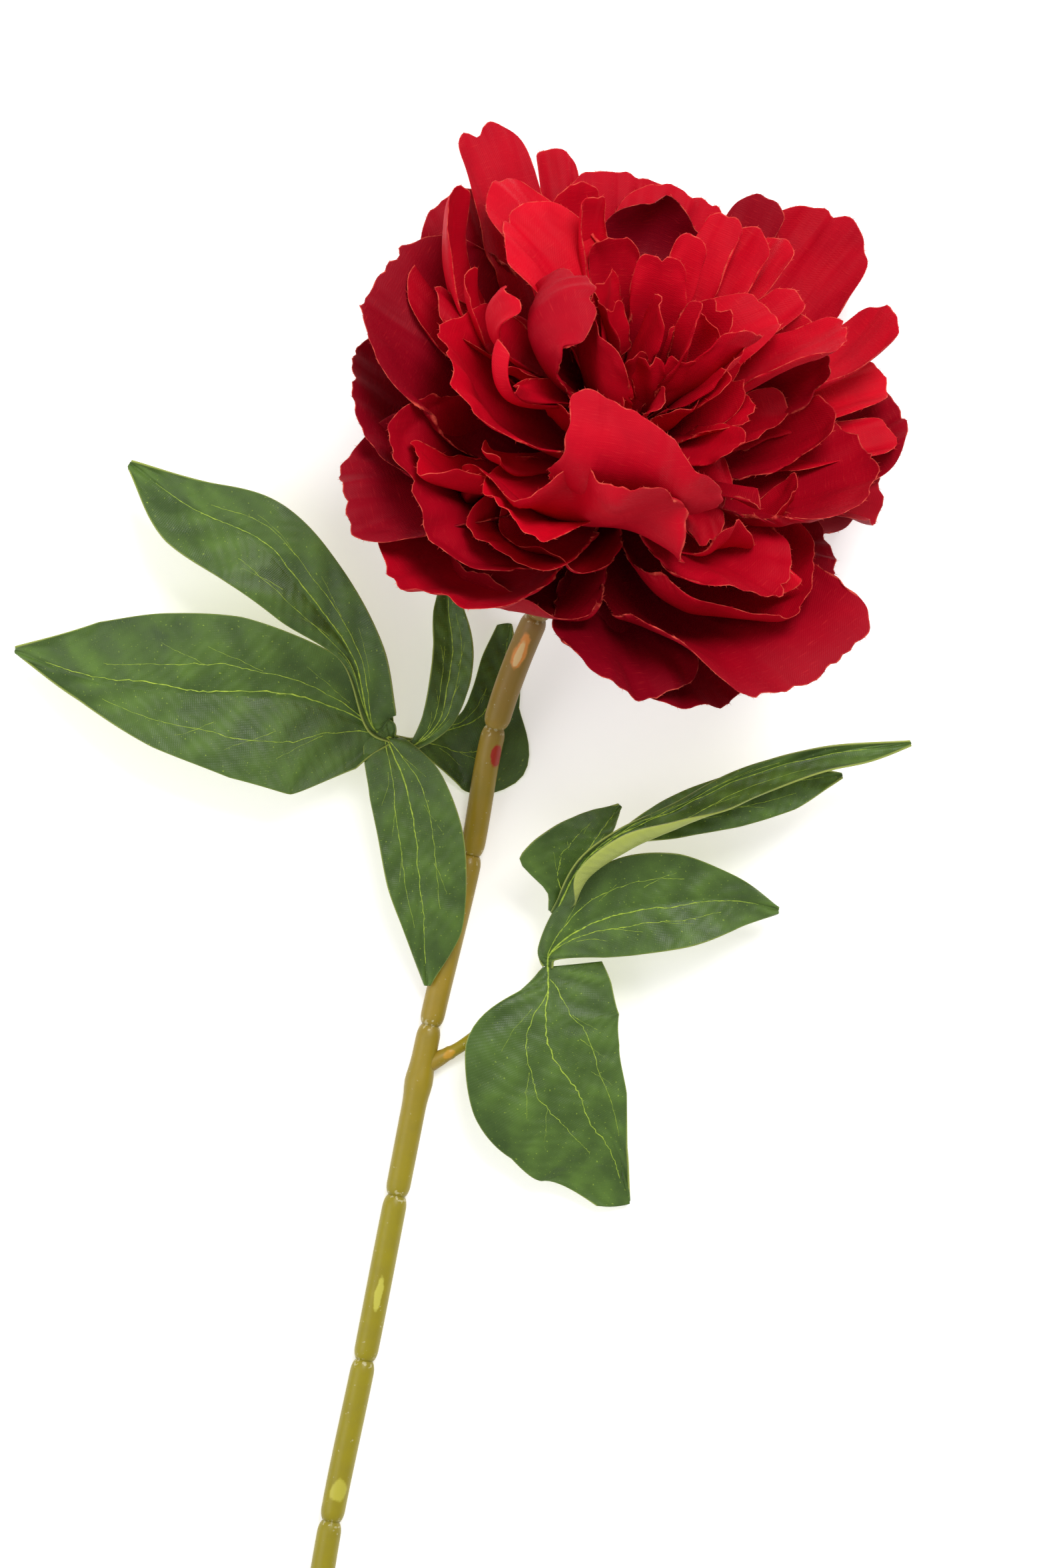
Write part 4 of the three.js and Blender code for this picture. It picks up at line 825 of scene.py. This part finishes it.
def printed_cloth(settings):
    """Polyester cloth, printed green and sealed: dark green above with a greyish shine on pressed
    ripples and a crossed weave, pale yellow-green and matt below."""
    material, tree, shader = new_material("printed_leaf_cloth")
    cloth = add_node(tree, "ShaderNodeUVMap", uv_map="cloth")
    under, hem, valley = (add_node(tree, "ShaderNodeAttribute", attribute_name=name).outputs["Fac"]
                          for name in ("underside", "hem", "valley"))
    # The print is lighter in patches of a centimetre, and painted shade darkens the valleys between the
    # ripples.
    cloudy = add_node(tree, "ShaderNodeTexNoise", {"Vector": cloth, "Scale": 90.0, "Detail": 4.0})
    patchy = add_node(tree, "ShaderNodeMapRange", {0: cloudy, 1: 0.3, 2: 0.75})
    valley_shade = add_node(tree, "ShaderNodeMapRange", {0: valley, 3: 0.0, 4: 0.45})
    # Specks of unprinted thread, a third of a millimetre across.
    speck = add_node(tree, "ShaderNodeTexNoise", {"Vector": cloth, "Scale": 1500.0, "Detail": 1.0})
    bare = add_node(tree, "ShaderNodeMapRange", {0: speck, 1: 0.68, 2: 0.8, 3: 0.0, 4: 0.5})
    edge = add_node(tree, "ShaderNodeMapRange", {0: hem, 1: 0.05, 2: 0.3, 3: 0.45, 4: 0.0})
    green = laid_over(tree, (*settings.leaf_dark, 1), [
        (patchy, settings.leaf_light), (valley_shade, settings.leaf_dark), (bare, settings.vein_print),
        (edge, settings.leaf_under), (under, settings.leaf_under)])
    # Crossed threads at 0.45 mm, drawn a little coarser than the real ones so that they show.
    warp, weft = (add_node(tree, "ShaderNodeTexWave", {"Vector": cloth, "Scale": 700.0, "Distortion": 0.6},
                           bands_direction=way).outputs[1] for way in ("X", "Y"))
    crossed = add_node(tree, "ShaderNodeMath", {0: warp, 1: weft}, operation="MULTIPLY")
    # Pressed pleats, three millimetres apart, run forward from the middle vein on both sides.
    mirrored = add_node(tree, "ShaderNodeVectorMath", {0: cloth}, operation="ABSOLUTE")
    slanted = add_node(tree, "ShaderNodeMapping", {0: mirrored, "Rotation": (0, 0, math.radians(38))})
    pleats = add_node(tree, "ShaderNodeTexWave", {
        "Vector": slanted, "Scale": 105.0, "Distortion": 8.0, "Detail": 2.0, "Detail Scale": 0.5},
        bands_direction="Y").outputs[1]
    pressed = add_node(tree, "ShaderNodeMath", {0: pleats, 1: patchy}, operation="MULTIPLY")
    feed(tree, shader, {
        "Base Color": green,
        "Normal": embossed(tree, [(0.35, 0.0001, crossed), (0.5, 0.0012, cloudy), (0.35, 0.0006, pressed)]),
        "Roughness": add_node(tree, "ShaderNodeMapRange", {0: cloudy, 1: 0.3, 2: 0.7, 3: 0.36, 4: 0.56}),
        "IOR": 1.46, "Specular IOR Level": 0.45, "Coat Weight": 0.03, "Coat Roughness": 0.4,
        "Sheen Weight": 0.2, "Sheen Roughness": 0.5, "Sheen Tint": (*linear("#D8DCCB"), 1)})
    return material


def vein_ink(settings):
    """Thick yellow-green print, slightly raised and broken where the cloth shows through."""
    material, tree, shader = new_material("raised_vein_print")
    place = add_node(tree, "ShaderNodeTexCoord").outputs["Object"]
    broken = add_node(tree, "ShaderNodeTexNoise", {"Vector": place, "Scale": 800.0, "Detail": 2.0})
    gaps = add_node(tree, "ShaderNodeMapRange", {0: broken, 1: 0.4, 2: 0.62, 3: 0.0, 4: 0.6})
    feed(tree, shader, {
        "Base Color": laid_over(tree, (*settings.vein_print, 1), [(gaps, settings.leaf_light)]),
        "Roughness": add_node(tree, "ShaderNodeMapRange", {0: broken, 3: 0.45, 4: 0.6})})
    return material


def moulded_cup():
    """Moulded green plastic with pressed sepals: matt, mottled, with a brown tinge."""
    material, tree, shader, mottle = mottled("moulded_green_cup", 220.0, 4.0, "#4F6E2C", "#7C8440")
    dull = add_node(tree, "ShaderNodeMapRange", {0: mottle, 3: 0.45, 4: 0.65})
    feed(tree, shader, {"Roughness": dull, "Normal": embossed(tree, [(0.3, 0.0004, mottle)])})
    return material


def paper():
    """Seamless background paper over a light table: matt, a warm white, with a very fine tooth and a soft
    light of its own that keeps the shadows pale."""
    material, tree, shader, _ = mottled("background_paper", 400.0, 2.0, "#F4F3F1", "#F8F7F5")
    feed(tree, shader, {"Roughness": 0.9, "Emission Color": (1, 1, 1, 1), "Emission Strength": 0.35})
    return material


def lengthwise(name, description, default):
    """A size that can be changed, in metres."""
    return FloatProperty(name=name, description=description, default=default, min=0.0, unit="LENGTH",
                         subtype="DISTANCE", precision=5)


def dye(name, description, code):
    """A colour that can be changed, from its sRGB hex code."""
    return FloatVectorProperty(name=name, description=description, default=linear(code), size=3, min=0.0,
                               max=1.0, subtype="COLOR")


class PetalSettings(bpy.types.PropertyGroup):
    """Sizes and dyes of the petals."""
    thickness: lengthwise("Cloth Thickness", "Thickness of the petal cloth", 0.00035)
    step: lengthwise("Mesh Step", "Distance between the points of a petal's mesh", 0.00105)
    fibre_spacing: lengthwise("Fibre Spacing", "Distance between loose fibres on a cut rim", 0.0016)
    fibre_length: lengthwise("Fibre Length", "Usual length of a loose fibre", 0.0008)
    fibre_radius: lengthwise("Fibre Radius", "Radius of a loose fibre at its root", 0.00006)
    fibre_seed: IntProperty(
        name="Fibre Seed", description="Seed of the fibres' lengths and leanings", default=7)
    # A petal is mixed from the dark dye towards the bright one, partly as its dye and partly as painted light
    # and shade.
    bright_dye: dye("Bright Dye", "Dye of the inner petals", "#D20420")
    dark_dye: dye("Dark Dye", "Dye of the guard petals", "#780014")
    # The root colour is partly dye and partly painted shade deep inside the flower.
    root_dye_and_shade: dye("Root Dye", "Dye near the petals' roots", "#4C000E")
    edge_dye: dye("Edge Dye", "Colour of the frayed rim", "#EC6650")
    # The slub colour is a painted highlight.
    slub_highlight: dye("Thread Dye", "Colour of the slubs", "#E83A38")


class StemSettings(bpy.types.PropertyGroup):
    """Sizes and tints of the stem and the leaf stalks."""
    radius: lengthwise("Stem Radius", "Radius of the stem between two joints", STEM_RADIUS * MM)
    wire_radius: lengthwise("Wire Radius", "Radius of the steel wire", WIRE_RADIUS * MM)
    stalk_radius: lengthwise("Stalk Radius", "Radius of a leaf stalk at the stem", STALK_RADIUS * MM)
    sides: IntProperty(name="Sides", description="Faces round the stem", default=40, min=6)
    low_tint: dye("Low Tint", "Colour of the lower stem", "#928608")
    middle_tint: dye("Middle Tint", "Colour of the upper stem", "#957C20")
    neck_tint: dye("Neck Tint", "Colour under the flower", "#86602C")
    stem_shade: dye("Shade", "Colour of the clouds in the plastic", "#756A20")
    flash_tint: dye("Flash Tint", "Colour of the flecks at the joints", "#D8D2B0")
    # The joint colour is painted shade in the waist.
    joint_shade_tint: dye("Gap Tint", "Colour deep in a joint", "#4E4418")


class LeafSettings(bpy.types.PropertyGroup):
    """Sizes and prints of the leaves."""
    thickness: lengthwise("Leaf Thickness", "Thickness of the leaf cloth", 0.0005)
    step: lengthwise("Mesh Step", "Distance between the points of a leaf's mesh", 0.0011)
    vein_radius: lengthwise("Vein Radius", "Radius of the middle vein at its root", 0.00028)
    # The dark green is the print, and it is laid again in the ripples' valleys as painted shade.
    leaf_dark: dye("Dark Green", "Print in the valleys", "#324A12")
    leaf_light: dye("Light Green", "Print on the crests", "#5A7A26")
    leaf_under: dye("Underside", "Colour of the underside", "#A3AE4C")
    vein_print: dye("Vein Print", "Colour of the veins", "#A9C23F")


def ride_as(made, slot, *nodes):
    """What every finished piece needs: its body and the nodes that it stands for. The slot is not used."""
    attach(made, "root")
    if nodes:
        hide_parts(*nodes)


def stem_path():
    """The stem's line with its girth, its rise from 0 to 1 and the distance to the nearest joint."""
    places, girth, joint = [], [], []
    for i, start in enumerate(STEM_JOINTS):
        reach = np.linalg.norm(STEM_LINE[i + 1] - start)
        wide = (STEM_RADIUS if i < len(STEM_JOINTS) - NECK_JOINTS else NECK_RADIUS) / STEM_RADIUS
        between = np.linspace(BARREL_FROM, reach - BARREL_FROM, BARREL_RINGS)
        distance = np.concatenate((NEAR_JOINT, between, reach - NEAR_JOINT[::-1]))[:-1]
        narrow = np.ones_like(distance)
        if i > 0:
            narrow = np.minimum(narrow, waist_at(distance))
        if i < len(STEM_JOINTS) - 1:
            narrow = np.minimum(narrow, waist_at(reach - distance))
        belly = 1 + STEM_BELLY * np.sin(math.pi * distance / reach)
        place = stem_at(i, distance / reach)
        collar = COLLAR_SWELL * np.exp(-((place[:, 1] - COLLAR_AT) / COLLAR_REACH) ** 2)
        places.append(place)
        girth.append(wide * narrow * belly * (1 + collar))
        joint.append(np.minimum(distance, reach - distance) if i > 0 else reach - distance)
    places.append(STEM_END[None])
    girth.append(np.ones(1))
    joint.append(np.full(1, NO_JOINT))
    places, girth, joint = (np.concatenate(parts) for parts in (places, girth, joint))
    way = np.append(0, np.cumsum(np.linalg.norm(np.diff(places, axis=0), axis=1)))
    return places, {"girth": girth, "rise": way / way[-1], "joint": joint}


def waist_at(distance):
    """How narrow the stem is at a distance from a joint: a barrel's rounded end."""
    waist = STEM_WAIST / STEM_RADIUS
    inside = np.clip(1 - distance / STEM_SHOULDER, 0, 1)
    return waist + (1 - waist) * (1 - inside ** 2) ** SHOULDER_POWER


def wire_path():
    """The wire, from just past the stem's cut end to inside the cup."""
    places = stem_at(0, np.linspace(0, 1, 90) * len(STEM_JOINTS))
    first = unit(STEM_JOINTS[1] - STEM_JOINTS[0])
    places = np.vstack((STEM_JOINTS[0] - first * WIRE_PROUD, places, STEM_END + AXIS * WIRE_INTO_CUP))
    return places, {"girth": np.ones(len(places))}


def stalk_path(stalk):
    """A leaf stalk's line with its girth, and its tint taken from the stem's."""
    places, heading = through(stalk, np.linspace(0, 1, 60))
    # The stalk is drawn from inside the stem, so that it grows out of it.
    places = np.vstack((places[0] - heading[0] * STALK_ROOT, places))
    way = np.append(0, np.cumsum(np.linalg.norm(np.diff(places, axis=0), axis=1)))
    short = way <= way[-1] - HUB_RADIUS - FIT_GAP
    places, way = places[short], way[short]
    # It is thicker at its root, and has a small ring just past it and faint ridges all along.
    taper = 1 + (STALK_TIP / STALK_RADIUS - 1) * way / way[-1] + 0.35 * np.exp(-(way / 4.5) ** 2)
    ridge = 1 + 0.03 * np.sin(way / 1.7) + 0.1 * np.exp(-((way - 6.2) / 0.5) ** 2)
    rise = np.interp(way / way[-1], (0, 0.12, 0.3), (0.8, 0.6, 0.45))
    return places, {"girth": taper * ridge, "rise": rise, "joint": np.full(len(way), NO_JOINT)}


class PEONY_OT_stem(bpy.types.Operator):
    """Make the moulded stem, its wire and the leaf stalks"""
    bl_idname = "peony.stem"
    bl_label = "Stem and Stalks"

    def execute(self, context):
        settings = context.scene.peony_stem
        plastic, steel, tree = moulded_stem(settings), wire_steel(), bar_tree()
        pieces = (
            ("moulded_stem", stem_path(), settings.radius, plastic, "stem", "stem"),
            ("steel_wire", wire_path(), settings.wire_radius, steel, "wire", "stem_wire"),
            ("stalk_left", stalk_path(LEFT_STALK), settings.stalk_radius, plastic, "stem", "petiole_left"),
            ("stalk_right", stalk_path(RIGHT_STALK), settings.stalk_radius, plastic, "stem", "petiole_right"),
        )
        for name, path, radius, material, slot, node in pieces:
            made = grown(path_object(name, [path]), tree, {
                "Radius": radius, "Sides": settings.sides, "Material": material})
            made.data.shade_smooth()
            ride_as(made, slot, node)
        return {"FINISHED"}


def turned_body(profile, sides, rings):
    """A turned body on the flower's axis, from pairs of radius and height, as a closed body."""
    line = through([(r, h, 0) for r, h in profile], np.linspace(0, 1, rings))[0]
    radius, height = np.maximum(line[:, 0], POLE_RADIUS), line[:, 1]
    angle = np.arange(sides) / sides * 2 * math.pi
    ring = FRONT * np.cos(angle)[:, None] + SIDE * np.sin(angle)[:, None]
    points = BASE + AXIS * height[:, None, None] + ring[None] * radius[:, None, None]
    index = np.arange(rings * sides).reshape(rings, sides)
    after = np.roll(index, -1, axis=1)
    faces = np.stack((index[:-1], after[:-1], after[1:], index[1:]), axis=-1).reshape(-1, 4)
    return points.reshape(-1, 3), faces, {}


class PEONY_OT_cup(bpy.types.Operator):
    """Make the green cup with its sepals"""
    bl_idname = "peony.cup"
    bl_label = "Green Cup"

    def execute(self, context):
        bodies = [turned_body(CUP, CUP_SIDES, CUP_RINGS)]
        for i in range(SEPALS["count"]):
            sepal = {**PLAIN, **KINDS["guard"], **SEPALS, "around": SEPAL_TURN + 360 * i / SEPALS["count"]}
            grid = petal_grid(sepal, SEPAL_COLUMNS, SEPAL_ROWS, SEPAL_SEED + i)[0]
            bodies.append(sheet_body(grid, SEPAL_THICK, {}))
        cup = object_from("green_cup", bodies)
        cup.data.materials.append(moulded_cup())
        ride_as(cup, "calyx", "calyx")
        return {"FINISHED"}


PETAL_PIECES = {
    "guard": "guard_petals", "bowl": "bowl_petals", "tall": "tall_petals", "wrap": "wrap_petals",
    "inner": "whorl_petals",
}
# The guard petals are the largest, and their mesh is a little wider.
GUARD_STEP = 1.05
# What is meshed of a petal's width, which its cup and waves make longer, and of its length.
WIDTH_MESHED, LENGTH_MESHED, FEWEST_COLUMNS, FEWEST_ROWS = 1.15, 0.8, 16, 18
PETAL_SEED = 31


class PEONY_OT_petals(bpy.types.Operator):
    """Make the petals, with their frayed rims"""
    bl_idname = "peony.petals"
    bl_label = "Petals"

    def execute(self, context):
        settings = context.scene.peony_petals
        petals = [petal_from(row) for row in PETALS] + ring_petals()
        material, tree = satin(settings), fray_tree()
        for kind, name in PETAL_PIECES.items():
            step = settings.step / MM * (GUARD_STEP if kind == "guard" else 1)
            bodies = []
            for number, petal in enumerate(petals):
                if petal["kind"] != kind:
                    continue
                columns = max(FEWEST_COLUMNS, round(petal["width"] * WIDTH_MESHED / step))
                rows = max(FEWEST_ROWS, round(petal["length"] * LENGTH_MESHED / step))
                grid, cloth, hem, share = petal_grid(petal, columns, rows, PETAL_SEED + number)
                # A petal's points carry its cloth coordinates, its distance to the rim, its share along, and
                # its mix of the dyes, which is partly painted light and shade.
                layers = {"cloth": cloth * MM, "hem": hem, "along": share * np.ones_like(hem),
                          "dye_and_shade": np.full(hem.shape, petal["dye_and_shade"])}
                # The cloth is pressed thin towards its cut rim.
                pressed = settings.thickness / MM * (0.3 + 0.7 * smooth(hem / 1.5))
                bodies.append(sheet_body(grid, pressed, layers))
            made = grown(object_from(name, bodies, cloth="cloth"), tree, {
                "Fibre Spacing": settings.fibre_spacing, "Fibre Length": settings.fibre_length,
                "Fibre Radius": settings.fibre_radius, "Spread": FIBRE_SPREAD, "Seed": settings.fibre_seed,
                "Material": material})
            ride_as(made, "petal", "bloom")
        return {"FINISHED"}


def lobe_grid(hub, shape, across, share):
    """Middle points of a lobe for places across it, -1 to 1, and along it, 0 to 1, with its half width
    there and how deep in a valley of the ripples each place is."""
    rib = np.vstack((hub, shape["rib"]))
    across, share = np.broadcast_arrays(np.asarray(across, float), np.asarray(share, float))
    place, along = through(rib, share)
    rightward = unit(np.cross(along, UP))
    above = np.cross(rightward, along)
    right, left = (rounded(shape[side], share) for side in ("right", "left"))
    half = np.where(across > 0, right, left)
    curl = np.radians(rounded(shape["curl"], share)) if "curl" in shape else 0.0
    curl = np.where(across > 0, np.maximum(curl, FLAT_CURL), FLAT_CURL)
    fold = math.radians(shape["fold"])
    reach = np.abs(across)
    sideways = half / curl * (np.sin(fold + curl * reach) - math.sin(fold))
    raised = half / curl * (math.cos(fold) - np.cos(fold + curl * reach))
    phase = shape["rib"][-1][0]
    raised = raised + shape["wave"] * across ** 2 * np.sin(9 * share + 2 * across + phase)
    # Pressed ripples that run forward from the middle vein.
    ripple = np.sin(2 * math.pi * (share * 9 - reach * 1.1))
    ripple = ripple * smooth(reach / 0.2) * smooth((1 - reach) / 0.25)
    groove = np.exp(-(across * half / 0.9) ** 2)
    raised = raised + (0.2 * ripple - 0.35 * groove) * smooth(share / 0.1)
    place = place + rightward * (np.sign(across) * sideways)[..., None] + above * raised[..., None]
    # The tip is cut round.
    longer = TIP_ROUND * (right + left) / 2 * (1 - across ** 2) * smooth((share - 0.93) / 0.07)
    place = place + along * longer[..., None]
    place[..., 2] = np.maximum(place[..., 2], LEAF_BLADE / 2 + 0.1)
    return place, half, 0.5 - 0.5 * ripple


def rounded(values, share):
    """A smooth curve through values that are spaced evenly, kept at or above the least half width."""
    evenly = [(v, i * 4.0, 0) for i, v in enumerate(values)]
    return np.maximum(through(evenly, share)[0][..., 0], LEAST_HALF)


def lobe_body(hub, shape, step, thickness):
    """The cloth of one lobe, with the values that its print and its painted shade follow."""
    length = np.linalg.norm(np.diff(np.vstack((hub, shape["rib"])), axis=0), axis=1).sum()
    widest = max(shape["right"]) + max(shape["left"])
    rows, columns = round(length / step), 2 * round(widest * 0.7 / step)
    share = np.append(np.linspace(0, 1 - LEAF_HEM / length, rows), 1)[:, None]
    # The columns are closer together towards the rims.
    column = np.linspace(-1, 1, columns + 1)
    across = (np.sign(column) * (1 - (1 - np.abs(column)) ** 1.3))[None, :]
    grid, half, valley = lobe_grid(hub, shape, across, share)
    hem = half * (1 - np.abs(across))
    cloth = np.stack((half * across, share * length * np.ones_like(half)), axis=-1)
    return sheet_body(grid, thickness, {"cloth": cloth * MM, "hem": hem, "valley": valley})


def vein_paths(hub, shape, seed, lift):
    """The printed veins of a lobe: a middle vein, a pair on each side that runs along with it, and
    small branches, all with the tremble of a hand-drawn line."""
    draw = seeded_draw(seed)
    # Each route is where it starts across and along the lobe, where it ends, and its girth at both.
    routes = [(0.0, 0.0, 0.0, 0.93, 1.0, 0.3)]
    for side in (-1, 1):
        first = 0.1 + 0.08 * next(draw)
        ends = side * (0.36 + 0.1 * next(draw)), 0.68 + 0.14 * next(draw)
        routes.append((side * 0.02, first, *ends, 0.5, 0.18))
        for i in range(3):
            start = 0.24 + 0.15 * i + 0.06 * next(draw)
            ends = side * (0.55 + 0.15 * next(draw)), start + 0.07 + 0.05 * next(draw)
            routes.append((side * 0.36 * smooth(start / 0.35), start, *ends, 0.22, 0.1))
    paths = []
    for a0, s0, a1, s1, thick, thin in routes:
        t = np.linspace(0, 1, max(10, round((s1 - s0) * 110)))
        wander = np.cumsum([2 * next(draw) - 1 for _ in t])
        wander = 0.013 * (wander - wander[0]) * smooth(t * 6)
        bow = np.where(s1 - s0 > 0.3, np.sqrt(smooth(t * 1.8)), t)
        across, share = a0 + (a1 - a0) * bow + wander, s0 + (s1 - s0) * t
        place = lobe_grid(hub, shape, across, share)[0]
        beside = lobe_grid(hub, shape, across + 0.01, share)[0]
        ahead = lobe_grid(hub, shape, across, share + 0.005)[0]
        normal = unit(np.cross(beside - place, ahead - place))
        printed = np.array([0.5 + 0.9 * next(draw) for _ in t])
        paths.append((place + normal * lift, {"girth": (thick + (thin - thick) * t) * printed}))
    return paths


class PEONY_OT_leaves(bpy.types.Operator):
    """Make both leaves with their veins"""
    bl_idname = "peony.leaves"
    bl_label = "Leaves"

    def execute(self, context):
        settings = context.scene.peony_leaves
        cloth, ink, tree = printed_cloth(settings), vein_ink(settings), bar_tree()
        groups = (
            ("left", "leaf_left", [(LEFT_HUB, shape) for shape in LEFT_LOBES]),
            ("right", "leaf_right", [(RIGHT_HUB, shape) for shape in RIGHT_FRONT_LOBES]
             + [(RIGHT_FORK, shape) for shape in RIGHT_BACK_LOBES]),
        )
        thickness, step = settings.thickness / MM, settings.step / MM
        for side, node, lobes in groups:
            bodies = [lobe_body(hub, shape, step, thickness) for hub, shape in lobes]
            leaf = object_from("cloth_leaf_" + side, bodies, cloth="cloth")
            leaf.data.materials.append(cloth)
            ride_as(leaf, "leaf", node)
            paths = []
            for number, (hub, shape) in enumerate(lobes):
                paths += vein_paths(hub, shape, VEIN_SEED + number, thickness / 2)
            veins = grown(path_object("veins_" + side, paths), tree, {
                "Radius": settings.vein_radius, "Sides": VEIN_SIDES, "Material": ink})
            veins.data.shade_smooth()
            ride_as(veins, "leaf", node)
        return {"FINISHED"}


class PEONY_OT_stage(bpy.types.Operator):
    """Make the floor, the lights and the camera"""
    bl_idname = "peony.stage"
    bl_label = "Stage"

    def execute(self, context):
        mesh = bpy.data.meshes.new("floor")
        corners = [(x * FLOOR_REACH, y * FLOOR_REACH, 0) for x, y in ((-1, -1), (1, -1), (1, 1), (-1, 1))]
        mesh.from_pydata(corners, [], [(0, 1, 2, 3)])
        mesh.materials.append(paper())
        floor = in_scene("floor", mesh)
        middle = Vector(in_part((0, 0, 0)))
        camera = bpy.data.cameras.new("camera")
        camera.sensor_fit, camera.sensor_height = "VERTICAL", SENSOR_HEIGHT
        camera.lens = SENSOR_HEIGHT * CAMERA_HEIGHT / PICTURE_HEIGHT
        holder = in_scene("camera", camera)
        holder.location = middle + Vector((0, 0, CAMERA_HEIGHT))
        context.scene.camera = holder
        for name, place, size, power in LIGHTS:
            light = bpy.data.lights.new(name, "AREA")
            light.size, light.energy = size, power
            lamp = in_scene(name, light)
            lamp.location = middle + Vector(place)
            aim = middle + Vector(LIGHTS_AIM) - lamp.location
            lamp.rotation_euler = aim.to_track_quat("-Z", "Y").to_euler()
        world = bpy.data.worlds.new("soft_room")
        world.use_nodes = True
        feed(world.node_tree, world.node_tree.nodes["Background"], {
            "Color": (1, 1, 1, 1), "Strength": ROOM_LIGHT})
        context.scene.world = world
        context.scene.view_settings.view_transform = "Standard"
        return {"FINISHED"}


class PEONY_PT_panel(bpy.types.Panel):
    """Lists the pieces of the peony"""
    bl_idname = "PEONY_PT_panel"
    bl_label = "Peony"
    bl_space_type = "VIEW_3D"
    bl_region_type = "UI"
    bl_category = "Peony"

    def draw(self, context):
        for operator in OPERATORS:
            self.layout.operator(operator.bl_idname)
        for settings in (context.scene.peony_petals, context.scene.peony_stem, context.scene.peony_leaves):
            box = self.layout.box()
            for name in settings.__annotations__:
                box.prop(settings, name)


OPERATORS = (PEONY_OT_stage, PEONY_OT_stem, PEONY_OT_cup, PEONY_OT_petals, PEONY_OT_leaves)
CLASSES = (PetalSettings, StemSettings, LeafSettings) + OPERATORS + (PEONY_PT_panel,)


def register():
    for item in CLASSES:
        bpy.utils.register_class(item)
    bpy.types.Scene.peony_petals = PointerProperty(type=PetalSettings)
    bpy.types.Scene.peony_stem = PointerProperty(type=StemSettings)
    bpy.types.Scene.peony_leaves = PointerProperty(type=LeafSettings)


def unregister():
    del bpy.types.Scene.peony_petals, bpy.types.Scene.peony_stem, bpy.types.Scene.peony_leaves
    for item in reversed(CLASSES):
        bpy.utils.unregister_class(item)


def main():
    register()
    bpy.ops.peony.stage()
    bpy.ops.peony.stem()
    bpy.ops.peony.cup()
    bpy.ops.peony.petals()
    bpy.ops.peony.leaves()


if __name__ == "__main__":
    main()
